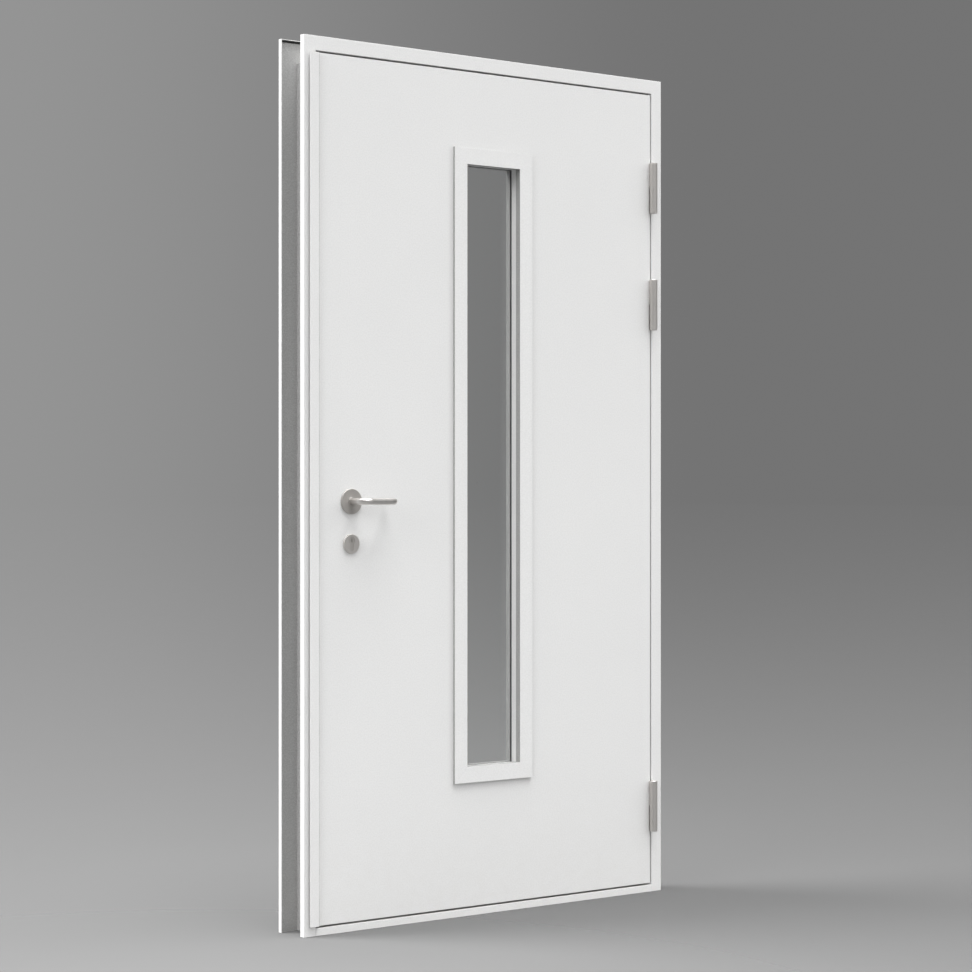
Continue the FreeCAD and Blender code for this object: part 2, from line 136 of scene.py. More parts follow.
class NodeSheet:
    """A node tree being laid out, with short calls that add nodes and join sockets."""

    def __init__(self, tree: Tree) -> None:
        """Keep the tree that is laid out."""
        self.tree = tree

    def feed(self, node: Node, values: dict) -> None:
        """Set or join input sockets of a node.

        Args:
            node: the node.
            values: values or source sockets by the input's name or number.
        """
        for key, value in values.items():
            if isinstance(value, Socket):
                self.tree.links.new(value, node.inputs[key])
            else:
                node.inputs[key].default_value = value

    def add(self, kind: str, inputs: dict | None = None, **options: object) -> Node:
        """Add one node.

        Args:
            kind: Blender's type name of the node.
            inputs: values or source sockets for its input sockets.
            options: settings of the node itself.

        Returns:
            The new node.
        """
        node = self.tree.nodes.new(kind)
        for name, value in options.items():
            setattr(node, name, value)
        self.feed(node, inputs or {})
        return node

    def math(self, operation: str, *values: object, clamp: bool = False) -> Socket:
        """Add a Math node.

        Args:
            operation: name of the sum.
            values: numbers or sockets, in order.
            clamp: keep the result from 0 to 1.

        Returns:
            The socket with the result.
        """
        node = self.add("ShaderNodeMath", dict(enumerate(values)), operation=operation, use_clamp=clamp)
        return node.outputs[0]

    def measure(self, operation: str, *vectors: object) -> Socket:
        """Add a Vector Math node whose result is a number.

        Args:
            operation: name of the sum.
            vectors: vectors or sockets, in order.

        Returns:
            The socket with the number.
        """
        node = self.add("ShaderNodeVectorMath", dict(enumerate(vectors)), operation=operation)
        return node.outputs["Value"]

    def coordinate(self, where: Socket, axis: str) -> Socket:
        """Take one coordinate, named X, Y or Z, of a vector."""
        return self.add("ShaderNodeSeparateXYZ", {0: where}).outputs[axis]

    def weigh(self, first: Socket, second: Socket, share: float) -> Socket:
        """Add two values by their weights.

        Args:
            first: the first value.
            second: the second value.
            share: weight of the first; the second has the rest up to 1.

        Returns:
            The socket with the sum.
        """
        rest = self.math("MULTIPLY", second, 1.0 - share)
        return self.math("MULTIPLY_ADD", first, share, rest)

    def span(self, value: Socket, band: Limits, result: Limits = (0.0, 1.0)) -> Socket:
        """Map a value from one band to another, clamped.

        Args:
            value: source socket.
            band: values that give the two results.
            result: results at the ends of the band.

        Returns:
            The socket with the mapped value.
        """
        names = ("From Min", "From Max", "To Min", "To Max")
        sockets = {"Value": value, **dict(zip(names, band + result))}
        return self.add("ShaderNodeMapRange", sockets).outputs["Result"]

    def blend(self, factor: object, first: object, second: object) -> Socket:
        """Mix two colours.

        Args:
            factor: share of the second colour.
            first: colour or socket.
            second: colour or socket.

        Returns:
            The socket with the mixed colour.
        """
        node = self.add("ShaderNodeMix", {0: factor}, data_type="RGBA")
        for number, value in ((MIX_FIRST, first), (MIX_SECOND, second)):
            self.feed(node, {number: value if isinstance(value, Socket) else (*value, 1.0)})
        return node.outputs[MIX_RESULT]

    def noise(self, where: Socket, pattern: Noise, scale: Socket | None = None) -> Socket:
        """Add a noise pattern with its plain values.

        Args:
            where: socket with the coordinates.
            pattern: the noise.
            scale: socket that gives its scale, where it has one.

        Returns:
            The socket with the noise's value.
        """
        sockets = {"Vector": where, "Scale": pattern.scale if scale is None else scale}
        sockets |= {"Detail": pattern.detail, "Roughness": pattern.roughness}
        return self.add("ShaderNodeTexNoise", sockets).outputs[0]

    def clouds(self, where: Socket, pattern: Noise, scale: Socket | None = None) -> Socket:
        """Add a noise pattern with its values spread over its band; the arguments are those of noise."""
        return self.span(self.noise(where, pattern, scale), pattern.band, pattern.result)

    def bump(self, height: Socket, distance: float, strength: float = 1.0) -> Socket:
        """Add a relief.

        Args:
            height: socket with the height, from 0 to 1.
            distance: what a height of 1 is in metres.
            strength: share of the relief that shows.

        Returns:
            The socket with the bent normal.
        """
        sockets = {"Height": height, "Distance": distance, "Strength": strength}
        return self.add("ShaderNodeBump", sockets).outputs["Normal"]


class SharedEffects:
    """Node groups that several finishes use, each built once.

    Attributes:
        grain, peel, slow, fleck: the powder coat's noises, from its fine grain to its mottling.
        peel_share: weight of the orange peel in the coat's relief.
        slow_share: weight of the slow noise in the mottling.
        edge_turn: cosines of the turn at an edge that is whole and that fully takes the edge colour.
        breaks: noise that breaks up the edge colour.
        ledge: rise of a face's normal where the ledge mask starts and where it is full.
        foot: heights at which the film near the floor starts and is full.
        dust_patches: noise that breaks up the ledge mask.
        shade_line_breaks: noise that breaks up the painted shadow line.
        fine, coarse: noises of the brush lines.
        coarse_scale: scale of the coarse lines as a share of the fine ones'.
        fine_share: weight of the fine lines.
    """

    grain: Noise = Noise(detail=1.0)
    peel: Noise = Noise(roughness=0.45)
    slow: Noise = Noise(2.6, 4.0, 0.6)
    fleck: Noise = Noise(roughness=0.6, band=(0.36, 0.64))
    peel_share: float = 0.7
    slow_share: float = 0.65
    edge_turn: Limits = (0.995, 0.86)
    breaks: Noise = Noise(detail=3.0, band=(0.35, 0.62), result=(0.25, 1.0))
    ledge: Limits = (0.45, 0.95)
    foot: Limits = (0.35, 0.0)
    dust_patches: Noise = Noise(38.0, 5.0, 0.6, (0.38, 0.66), (0.2, 1.0))
    shade_line_breaks: Noise = Noise(30.0, 3.0, band=(0.35, 0.65), result=(0.6, 1.0))
    fine: Noise = Noise(detail=3.0, roughness=0.6)
    coarse: Noise = Noise()
    coarse_scale: float = 0.21
    fine_share: float = 0.7

    def __init__(self) -> None:
        """Build every group."""
        self.powder_grain = self._powder_grain()
        self.edge_rub = self._edge_rub()
        self.settled_dust = self._settled_dust()
        self.brushed_lines = self._brushed_lines()
        self.wall_side = self._wall_side()
        self.trim_returns = self._trim_returns()
        self.edge_grime = self._edge_grime()
        LOG.info("shared effects: powder grain, edge rub, settled dust, brushed lines, primed zones")

    @staticmethod
    def _start(name: str, numbers: dict[str, float], results: list[str]) -> tuple[NodeSheet, dict, Node]:
        """Start a node group that reads a vector and some numbers.

        Args:
            name: name of the group.
            numbers: its number inputs with their usual values.
            results: names of its number outputs.

        Returns:
            The sheet, the group's input sockets and its output node.
        """
        group = bpy.data.node_groups.new(name, "ShaderNodeTree")
        group.interface.new_socket("Vector", in_out="INPUT", socket_type="NodeSocketVector")
        for key, value in numbers.items():
            socket = group.interface.new_socket(key, in_out="INPUT", socket_type="NodeSocketFloat")
            socket.default_value = value
        for key in results:
            group.interface.new_socket(key, in_out="OUTPUT", socket_type="NodeSocketFloat")
        sheet = NodeSheet(group)
        return sheet, sheet.add("NodeGroupInput").outputs, sheet.add("NodeGroupOutput")

    def _powder_grain(self) -> Tree:
        """Fine powder grain over a soft orange peel, with slow mottling of the colour.

        Returns:
            The node group.
        """
        numbers = {"Grain": 1400.0, "Peel": 210.0, "Fleck": 300.0}
        sheet, given, made = self._start("powder_grain", numbers, ["Height", "Mottle", "Speck"])
        grain = sheet.noise(given["Vector"], self.grain, given["Grain"])
        peel = sheet.noise(given["Vector"], self.peel, given["Peel"])
        slow = sheet.noise(given["Vector"], self.slow)
        mottle = sheet.span(sheet.weigh(slow, peel, self.slow_share), self.fleck.band)
        speck = sheet.clouds(given["Vector"], self.fleck, given["Fleck"])
        height = sheet.weigh(peel, grain, self.peel_share)
        sheet.feed(made, {"Height": height, "Mottle": mottle, "Speck": speck})
        return sheet.tree

    def _edge_rub(self) -> Tree:
        """Mask of the sharp outer edges, broken up so that the edge colour comes and goes: rubbing on
        metal, a painted highlight on white paint, painted shade on the trims.

        Returns:
            The node group.
        """
        sheet, given, made = self._start("edge_rub", {"Width": 0.0012, "Breaks": 60.0}, ["Mask"])
        rounded = sheet.add("ShaderNodeBevel", {"Radius": given["Width"]}, samples=4).outputs[0]
        flat = sheet.add("ShaderNodeNewGeometry").outputs["Normal"]
        edge = sheet.span(sheet.measure("DOT_PRODUCT", rounded, flat), self.edge_turn)
        breaks = sheet.clouds(given["Vector"], self.breaks, given["Breaks"])
        sheet.feed(made, {"Mask": sheet.math("MULTIPLY", edge, breaks, clamp=True)})
        return sheet.tree

    def _settled_dust(self) -> Tree:
        """Mask of faces that look up, with a thinner film near the floor: dust, and on the trims painted
        shade.

        Returns:
            The node group.
        """
        sheet, given, made = self._start("settled_dust", {"Amount": 0.5, "Foot": 0.2}, ["Mask"])
        up = sheet.coordinate(sheet.add("ShaderNodeNewGeometry").outputs["Normal"], "Z")
        ledge = sheet.math("MULTIPLY", sheet.span(up, self.ledge), given["Amount"])
        height = sheet.coordinate(given["Vector"], "Z")
        film = sheet.math("MULTIPLY", sheet.span(height, self.foot), given["Foot"])
        both = sheet.math("ADD", ledge, film)
        patches = sheet.clouds(given["Vector"], self.dust_patches)
        sheet.feed(made, {"Mask": sheet.math("MULTIPLY", both, patches, clamp=True)})
        return sheet.tree

    def _wall_side(self) -> Tree:
        """Masks of the frame's hollow inner faces, which look towards the wall, and of a band at their top.

        Half, Top and Front are the frame's half width, height and front face. The hollow starts at
        Skin, just within the sheet, and reaches inward by Lip, and by Stop more behind the depth
        Step. Rear is its depth. Joint is the height of the band at its top that takes painted shade.

        Returns:
            The node group.
        """
        numbers = {"Half": 0.575, "Top": 2.1, "Front": -0.05, "Joint": 0.0062}
        numbers |= {"Skin": 0.0015, "Lip": 0.0325, "Step": 0.0535, "Stop": 0.020, "Rear": 0.0985}
        sheet, given, made = self._start("wall_side", numbers, ["Mask", "Joint"])
        across = sheet.math("ABSOLUTE", sheet.coordinate(given["Vector"], "X"))
        aside = sheet.math("SUBTRACT", given["Half"], across)
        under = sheet.math("SUBTRACT", given["Top"], sheet.coordinate(given["Vector"], "Z"))
        inward = sheet.math("MINIMUM", aside, under)
        depth = sheet.math("SUBTRACT", sheet.coordinate(given["Vector"], "Y"), given["Front"])
        behind = sheet.math("GREATER_THAN", depth, given["Step"])
        wide = sheet.math("MULTIPLY_ADD", behind, given["Stop"], given["Lip"])
        mask = sheet.math("GREATER_THAN", inward, given["Skin"])
        for part in (
            sheet.math("LESS_THAN", inward, wide),
            sheet.math("GREATER_THAN", depth, given["Skin"]),
            sheet.math("LESS_THAN", depth, given["Rear"]),
        ):
            mask = sheet.math("MULTIPLY", mask, part)
        joint = sheet.math("MULTIPLY", mask, sheet.math("LESS_THAN", under, given["Joint"]))
        sheet.feed(made, {"Mask": mask, "Joint": joint})
        return sheet.tree

    def _trim_returns(self) -> Tree:
        """Masks of the glazing trims' folded returns, which lie behind their faces.

        Front, Fold, Pane and Rear are places along Y: the trim's face, the end of its fold, the
        middle of the pane and the rear trim's face. Skin and Play are how far the masks keep off
        the front and the rear face.

        Returns:
            The node group.
        """
        numbers = {"Front": -0.056, "Fold": -0.040, "Pane": -0.0145, "Rear": 0.0}
        numbers |= {"Skin": 0.00005, "Play": 0.0002}
        sheet, given, made = self._start("trim_returns", numbers, ["Fore", "Bead", "Aft"])
        depth = sheet.coordinate(given["Vector"], "Y")
        behind = sheet.math("GREATER_THAN", depth, sheet.math("ADD", given["Front"], given["Skin"]))
        folded = sheet.math("LESS_THAN", depth, given["Fold"])
        before_pane = sheet.math("LESS_THAN", depth, given["Pane"])
        within = sheet.math("LESS_THAN", depth, sheet.math("SUBTRACT", given["Rear"], given["Play"]))
        results = {
            "Fore": sheet.math("MULTIPLY", behind, folded),
            "Bead": sheet.math("MULTIPLY", before_pane, sheet.math("SUBTRACT", 1.0, folded)),
            "Aft": sheet.math("MULTIPLY", within, sheet.math("GREATER_THAN", depth, given["Pane"])),
        }
        sheet.feed(made, results)
        return sheet.tree

    def _edge_grime(self) -> Tree:
        """Mask of a thin line along one upright edge, where a shadow line is painted.

        Returns:
            The node group.
        """
        sheet, given, made = self._start("edge_grime", {"Edge": 0.0, "Width": 0.0012}, ["Mask"])
        aside = sheet.math("SUBTRACT", sheet.coordinate(given["Vector"], "X"), given["Edge"])
        near = sheet.math("LESS_THAN", sheet.math("ABSOLUTE", aside), given["Width"])
        breaks = sheet.clouds(given["Vector"], self.shade_line_breaks)
        sheet.feed(made, {"Mask": sheet.math("MULTIPLY", near, breaks)})
        return sheet.tree

    def _brushed_lines(self) -> Tree:
        """Long fine brush lines in coordinates that are stretched along the brushing.

        Returns:
            The node group.
        """
        sheet, given, made = self._start("brushed_lines", {"Fineness": 1.0}, ["Lines"])
        fine = sheet.noise(given["Vector"], self.fine, given["Fineness"])
        slower = sheet.math("MULTIPLY", given["Fineness"], self.coarse_scale)
        coarse = sheet.noise(given["Vector"], self.coarse, slower)
        sheet.feed(made, {"Lines": sheet.weigh(fine, coarse, self.fine_share)})
        return sheet.tree


# Finishes


class Canvas(NodeSheet):
    """The node sheet of one finish, with what every finish needs at hand.

    Attributes:
        effects: the shared node groups.
        where: socket with Object coordinates.
    """

    def __init__(self, tree: Tree, effects: SharedEffects) -> None:
        """Keep the tree and the shared effects, and add the coordinates.

        Args:
            tree: the material's empty node tree.
            effects: the shared node groups.
        """
        super().__init__(tree)
        self.effects = effects
        self.where = self.add("ShaderNodeTexCoord").outputs["Object"]

    def effect(self, group: Tree, **inputs: object) -> Node:
        """Place a shared effect with its own values, in Object coordinates unless it is given others."""
        return self.add("ShaderNodeGroup", {"Vector": self.where, **inputs}, node_tree=group)


@dataclass(frozen=True)
class DustAndShade:
    """Settled dust on a finish; on the trims the same mask lays dark grey painted shade on faces that look
    up.

    Attributes:
        ledges: share on faces that look up.
        foot: share of dust near the floor.
        colour: its colour.
    """

    ledges: float
    foot: float
    colour: Colour

    def mask(self, sheet: Canvas) -> Socket:
        """Place the dust's mask in a material."""
        dust = sheet.effect(sheet.effects.settled_dust, Amount=self.ledges, Foot=self.foot)
        return dust.outputs["Mask"]


@dataclass(frozen=True)
class Rub:
    """Edges of a finish in a colour of their own: rubbed edges on metal, a painted highlight on white
    paint, painted shade on the trims.

    Attributes:
        width: reach of the edge colour from an edge, in metres.
        breaks: breaks in it per metre.
        share: share of the edge colour at an edge.
        colour: the edge colour.
        polish: what the full edge mask adds to the roughness.
    """

    width: float
    breaks: float
    share: float
    colour: Colour
    polish: float = 0.0

    def mask(self, sheet: Canvas) -> Socket:
        """Place the rubbing's mask in a material."""
        rub = sheet.effect(sheet.effects.edge_rub, Width=self.width, Breaks=self.breaks)
        return rub.outputs["Mask"]

    def wear(self, sheet: Canvas, mask: Socket, coat: Socket) -> Socket:
        """Show the edge colour on a coat: wear on metal, a painted highlight on white paint, painted shade
        on the trims.
        """
        return sheet.blend(sheet.math("MULTIPLY", mask, self.share), coat, self.colour)


@dataclass(frozen=True)
class Finish:
    """A procedural finish on Object coordinates.

    Attributes:
        name: name of the material.
        colour: its clean colour.
    """

    name: str
    colour: Colour

    def material(self, effects: SharedEffects) -> Material:
        """Build the material.

        Args:
            effects: the shared node groups.

        Returns:
            The finished material.
        """
        material = bpy.data.materials.new(self.name)
        sheet = Canvas(blank_tree(material), effects)
        shader = sheet.add("ShaderNodeBsdfPrincipled")
        sheet.add("ShaderNodeOutputMaterial", {"Surface": shader.outputs[0]})
        sheet.feed(shader, self._surface(sheet))
        return material

    def _surface(self, sheet: Canvas) -> dict[str, object]:
        """Lay out what the shader is fed with.

        Args:
            sheet: the material's node sheet.

        Returns:
            Values and sockets by the shader's input.
        """
        raise NotImplementedError


@dataclass(frozen=True)
class PowderPaint(Finish):
    """Fine matt powder coat on bent steel, with a painted highlight on its sharp edges and painted shade in
    hollows and on the trims' returns, edges and ledges.

    Attributes:
        shade: colour of its slightly duller patches.
        gloss: roughness in the grain's hollows and on its tops.
        speck: share of the fleck's colour in the finest grain.
        fleck: colour of the finest, darker grain.
        relief: height of the grain in metres.
        dust: the dust on it; on the trims a dark grey on faces that look up, as painted shade.
        dulling: what full dust adds to the roughness.
        rub: its edges, lighter as a painted highlight, and on the trims darker as painted shade.
        shade_grey: grey of the painted shade laid in the zone.
        shade_grey_dark: darker grey of its grain; on the trims also the whole painted shade behind the
            pane.
        shade_grey_grain: that grain.
        zone: where painted shade grey is laid over the coat.
        fold_share: share of painted shade grey on the trims' folded returns.
        bead_share: share of painted shade grey on the glazing beads.
        joint: near-black of the painted shade band at the top of the frame's hollow, under the head.
        shade_line_edge: place along X of an upright edge along which a shadow line is painted.
        shade_line_colour: colour of that painted shadow line.
    """

    shade: Colour
    gloss: Limits = (0.40, 0.51)
    speck: float = 0.30
    fleck: Colour = (0.62, 0.62, 0.615)
    relief: float = 0.00010
    dust: DustAndShade = DustAndShade(0.35, 0.10, (0.56, 0.53, 0.48))
    dulling: float = 0.4
    # Painted highlight: the coat's sharp edges are lighter, broken up with noise.
    rub: Rub = Rub(0.0014, 60.0, 0.5, (0.86, 0.86, 0.85), polish=-0.10)
    # Painted shade: greys laid over the coat in the zone's hollows and returns.
    shade_grey: Colour = (0.525, 0.525, 0.521)
    shade_grey_dark: Colour = (0.408, 0.408, 0.404)
    shade_grey_grain: Noise = Noise(330.0, 3.0, 0.6, (0.38, 0.62))
    zone: ShadeZone = ShadeZone.NONE
    fold_share: float = 0.95
    bead_share: float = 0.12
    # Painted shade: near-black band at the top of the frame's hollow, under the head.
    joint: Colour = (0.020, 0.020, 0.020)
    shade_line_edge: float | None = None
    shade_line_colour: Colour = (0.30, 0.295, 0.285)

    def _paint_shade_zones(self, sheet: Canvas, coat: Socket) -> Socket:
        """Lay painted shade grey over the coat in the zone's hollows and returns.

        Args:
            sheet: the material's node sheet.
            coat: socket with the coat's colour.

        Returns:
            The socket with the colour of coat and painted shade.
        """
        if self.zone is ShadeZone.NONE:
            return coat
        speckle = sheet.clouds(sheet.where, self.shade_grey_grain)
        shaded_grey = sheet.blend(speckle, self.shade_grey_dark, self.shade_grey)
        # Frame: painted shade grey in the hollow on the wall side, and a near-black painted shade band at
        # its top.
        if self.zone is ShadeZone.WALL_SIDE:
            inside = sheet.effect(sheet.effects.wall_side).outputs
            return sheet.blend(inside["Joint"], sheet.blend(inside["Mask"], coat, shaded_grey), self.joint)
        # Trims: painted shade grey on the returns and beads, and darker grey behind the pane.
        returns = sheet.effect(sheet.effects.trim_returns).outputs
        bead = sheet.math("MULTIPLY", returns["Bead"], self.bead_share)
        share = sheet.math("MULTIPLY_ADD", returns["Fore"], self.fold_share, bead)
        return sheet.blend(returns["Aft"], sheet.blend(share, coat, shaded_grey), self.shade_grey_dark)

    def _surface(self, sheet: Canvas) -> dict[str, object]:
        """Lay out the coat, its thin zones, rubbed edges and dust.

        Args:
            sheet: the material's node sheet.

        Returns:
            Values and sockets by the shader's input.
        """
        grain = sheet.effect(sheet.effects.powder_grain).outputs
        # The edge mask lays a painted highlight on the white paint's edges and painted shade on the trims'.
        rub = self.rub.mask(sheet)
        dust = self.dust.mask(sheet)
        mottled = sheet.blend(grain["Mottle"], self.shade, self.colour)
        coat = sheet.blend(sheet.math("MULTIPLY", grain["Speck"], self.speck), mottled, self.fleck)
        coat = self._paint_shade_zones(sheet, coat)
        # Painted shadow: a dark line along the strip's edge, where its step casts shade.
        if self.shade_line_edge is not None:
            line = sheet.effect(sheet.effects.edge_grime, Edge=self.shade_line_edge)
            coat = sheet.blend(line.outputs["Mask"], coat, self.shade_line_colour)
        gloss = sheet.span(grain["Height"], USUAL_BAND, self.gloss)
        worn = sheet.math("MULTIPLY_ADD", rub, self.rub.polish, gloss)
        return {
            "Base Color": sheet.blend(dust, self.rub.wear(sheet, rub, coat), self.dust.colour),
            "Roughness": sheet.math("MULTIPLY_ADD", dust, self.dulling, worn, clamp=True),
            "Normal": sheet.bump(grain["Height"], self.relief),
        }


@dataclass(frozen=True)
class SatinSteel(Finish):
    """Brushed stainless steel with a soft satin sheen.

    Attributes:
        dull: reflectance along the deeper brush lines.
        way: direction of the brushing.
        roughness: mean roughness.
        centre: point that turned brushing goes round.
        gloss_share: how far the lines change the roughness, as a share of it.
        fineness: brush lines per metre across the brushing.
        length: breaks in the lines per metre along it.
        rings: turned brushing's lines per metre.
        rub: its rubbed edges.
        touch: noise of the patches that hands have dulled.
        touch_dulling: what such a patch adds to the roughness.
        relief: height of the lines in metres.
        relief_share: share of that relief that shows.
    """

    dull: Colour
    way: GrainWay = GrainWay.UPRIGHT
    roughness: float = 0.36
    centre: Point = (0.0, 0.0, 0.0)
    gloss_share: float = 0.22
    fineness: float = 1900.0
    length: float = 45.0
    rings: float = 2600.0
    rub: Rub = Rub(0.0010, 140.0, 0.6, (0.74, 0.73, 0.71), polish=-0.08)
    touch: Noise = Noise(75.0, 4.0, 0.6, (0.42, 0.62))
    touch_dulling: float = 0.06
    relief: float = 0.00002
    relief_share: float = 0.6

    def _brushing(self, sheet: Canvas) -> Socket:
        """Stretch the coordinates along the brushing.

        Args:
            sheet: the material's node sheet.

        Returns:
            The socket with the stretched coordinates.
        """
        if self.way is GrainWay.TURNED:
            shift = tuple(-value for value in self.centre)
            moved = sheet.add("ShaderNodeMapping", {"Vector": sheet.where, "Location": shift}).outputs[0]
            flat = {0: moved, 1: (1.0, 0.0, 1.0)}
            level = sheet.add("ShaderNodeVectorMath", flat, operation="MULTIPLY").outputs[0]
            ring = sheet.math("MULTIPLY", sheet.measure("LENGTH", level), self.rings)
            return sheet.add("ShaderNodeCombineXYZ", {"X": ring}).outputs[0]
        scale = (self.fineness, self.fineness, self.length)
        if self.way is GrainWay.LEVEL:
            scale = (self.length, self.fineness, self.fineness)
        return sheet.add("ShaderNodeMapping", {"Vector": sheet.where, "Scale": scale}).outputs[0]

    def _surface(self, sheet: Canvas) -> dict[str, object]:
        """Lay out the brushed metal, its touched patches and rubbed edges.

        Args:
            sheet: the material's node sheet.

        Returns:
            Values and sockets by the shader's input.
        """
        lines = sheet.effect(sheet.effects.brushed_lines, Vector=self._brushing(sheet)).outputs["Lines"]
        rub = self.rub.mask(sheet)
        metal = sheet.blend(lines, self.dull, self.colour)
        spread = self.roughness * self.gloss_share
        lined = sheet.span(lines, USUAL_BAND, (self.roughness + spread, self.roughness - spread))
        touch = sheet.clouds(sheet.where, self.touch)
        touched = sheet.math("MULTIPLY_ADD", touch, self.touch_dulling, lined)
        return {
            "Base Color": self.rub.wear(sheet, rub, metal),
            "Roughness": sheet.math("MULTIPLY_ADD", rub, self.rub.polish, touched, clamp=True),
            "Normal": sheet.bump(lines, self.relief, self.relief_share),
            "Metallic": 1.0,
        }


@dataclass(frozen=True)
class BrightZinc(Finish):
    """Zinc plated steel of screws and bolt ends, with a faintly spangled, yellowed film.

    Attributes:
        film: colour of the film.
        rub: its rubbed edges.
        spangle: noise of the film.
        gloss: noise of the roughness.
        relief: thickness of the film in metres.
    """

    name: str = "bright_zinc"
    colour: Colour = (0.62, 0.63, 0.64)
    film: Colour = (0.55, 0.52, 0.44)
    rub: Rub = Rub(0.0005, 400.0, 1.0, (0.78, 0.78, 0.77))
    spangle: Noise = Noise(420.0, 3.0, 0.6, (0.35, 0.68), (0.0, 0.55))
    gloss: Noise = Noise(900.0, result=(0.26, 0.44))
    relief: float = 0.00002

    def _surface(self, sheet: Canvas) -> dict[str, object]:
        """Lay out the film and the rubbed edges.

        Args:
            sheet: the material's node sheet.

        Returns:
            Values and sockets by the shader's input.
        """
        rub = self.rub.mask(sheet)
        spangle = sheet.clouds(sheet.where, self.spangle)
        return {
            "Base Color": self.rub.wear(sheet, rub, sheet.blend(spangle, self.colour, self.film)),
            "Roughness": sheet.clouds(sheet.where, self.gloss),
            "Normal": sheet.bump(spangle, self.relief),
            "Metallic": 1.0,
        }


@dataclass(frozen=True)
class SealRubber(Finish):
    """Extruded rubber of a seal or a glazing gasket, with fine drawn lines and a dusty bloom.

    Attributes:
        bloom: colour of the bloom.
        gloss: roughness in the skin's hollows and on its tops.
        skin: noise of the drawn skin.
        patches: noise of the bloom.
        dust: the dust on it.
        relief: height of the skin in metres.
    """

    bloom: Colour = (0.16, 0.155, 0.15)
    gloss: Limits = (0.60, 0.78)
    skin: Noise = Noise(850.0, 3.0, 0.6)
    patches: Noise = Noise(24.0, 4.0, band=(0.4, 0.66), result=(0.0, 0.4))
    dust: DustAndShade = DustAndShade(0.6, 0.35, (0.42, 0.40, 0.37))
    relief: float = 0.00008

    def _surface(self, sheet: Canvas) -> dict[str, object]:
        """Lay out the skin, its bloom and its dust.

        Args:
            sheet: the material's node sheet.

        Returns:
            Values and sockets by the shader's input.
        """
        dust = self.dust.mask(sheet)
        skin = sheet.noise(sheet.where, self.skin)
        bloomed = sheet.blend(sheet.clouds(sheet.where, self.patches), self.colour, self.bloom)
        return {
            "Base Color": sheet.blend(dust, bloomed, self.dust.colour),
            "Roughness": sheet.span(skin, self.skin.band, self.gloss),
            "Normal": sheet.bump(skin, self.relief),
        }


@dataclass(frozen=True)
class PressedBoard(Finish):
    """Pressed mineral board of the leaf's filling, with flecks of coarse fibre.

    Attributes:
        fleck: colour of the fibres.
        fleck_band: values of the fibres' noise from which a fleck starts and is full.
        fleck_share: share of the fibres' colour there.
        fibre: noise of the fibres.
        lay: stretch of the fibres across the board.
        gloss: roughness of the board and of the fibres.
        dust: the dust on it.
        relief: height of the fibres in metres.
    """

    name: str = "pressed_board"
    colour: Colour = (0.55, 0.53, 0.47)
    fleck: Colour = (0.36, 0.33, 0.27)
    fleck_band: Limits = (0.48, 0.70)
    fleck_share: Limits = (0.0, 0.8)
    fibre: Noise = Noise(240.0, 4.0, 0.65)
    lay: Point = (1.0, 5.0, 1.0)
    gloss: Limits = (0.82, 0.95)
    dust: DustAndShade = DustAndShade(0.3, 0.1, (0.62, 0.60, 0.55))
    relief: float = 0.0006

    def _surface(self, sheet: Canvas) -> dict[str, object]:
        """Lay out the board, its fibres and its dust.

        Args:
            sheet: the material's node sheet.

        Returns:
            Values and sockets by the shader's input.
        """
        dust = self.dust.mask(sheet)
        laid = sheet.add("ShaderNodeMapping", {"Vector": sheet.where, "Scale": self.lay}).outputs[0]
        fibre = sheet.noise(laid, self.fibre)
        board = sheet.blend(sheet.span(fibre, self.fleck_band, self.fleck_share), self.colour, self.fleck)
        return {
            "Base Color": sheet.blend(dust, board, self.dust.colour),
            "Roughness": sheet.span(fibre, self.fibre.band, self.gloss),
            "Normal": sheet.bump(fibre, self.relief),
        }


@dataclass(frozen=True)
class ClearGlass(Finish):
    """Clear laminated fire glass with a trace of green and a few tiny seeds.

    Attributes:
        index: refractive index.
        cells: cells per metre that may hold a seed.
        seed_size: distance from a cell's middle where a seed starts and is full, in cells.
        seeded: noise of the parts that hold seeds.
        seed_colour: colour of a seed.
        seed_relief: height of a seed in metres.
        smears: noise of the roughness that wiping has left.
        dust: the dust on it.
    """

    name: str = "clear_fire_glass"
    colour: Colour = (0.93, 0.94, 0.937)
    index: float = 1.50
    cells: float = 26.0
    seed_size: Limits = (0.035, 0.02)
    seeded: Noise = Noise(7.0, 1.0, band=(0.50, 0.54))
    seed_colour: Colour = (0.30, 0.32, 0.31)
    seed_relief: float = 0.0002
    smears: Noise = Noise(11.0, 5.0, 0.65, (0.45, 0.75), (0.0, 0.02))
    dust: DustAndShade = DustAndShade(0.2, 0.0, (0.7, 0.7, 0.68))

    def _surface(self, sheet: Canvas) -> dict[str, object]:
        """Lay out the clear glass, its seeds, smears and dust.

        Args:
            sheet: the material's node sheet.

        Returns:
            Values and sockets by the shader's input.
        """
        cells = {"Vector": sheet.where, "Scale": self.cells, "Randomness": 1.0}
        near = sheet.add("ShaderNodeTexVoronoi", cells).outputs["Distance"]
        some = sheet.clouds(sheet.where, self.seeded)
        seed = sheet.math("MULTIPLY", sheet.span(near, self.seed_size), some)
        dust = self.dust.mask(sheet)
        tint = sheet.blend(seed, self.colour, self.seed_colour)
        return {
            "Base Color": sheet.blend(dust, tint, self.dust.colour),
            "Roughness": sheet.clouds(sheet.where, self.smears),
            "Normal": sheet.bump(seed, self.seed_relief),
            "Transmission Weight": 1.0,
            "IOR": self.index,
        }


LEAF_PAINT = PowderPaint("leaf_paint", (0.795, 0.795, 0.790), (0.775, 0.775, 0.772))
# The frame's paint takes painted shade in its hollow on the wall side.
FRAME_PAINT = PowderPaint(
    "frame_paint", (0.800, 0.800, 0.795), (0.780, 0.780, 0.777), (0.38, 0.49), zone=ShadeZone.WALL_SIDE
)
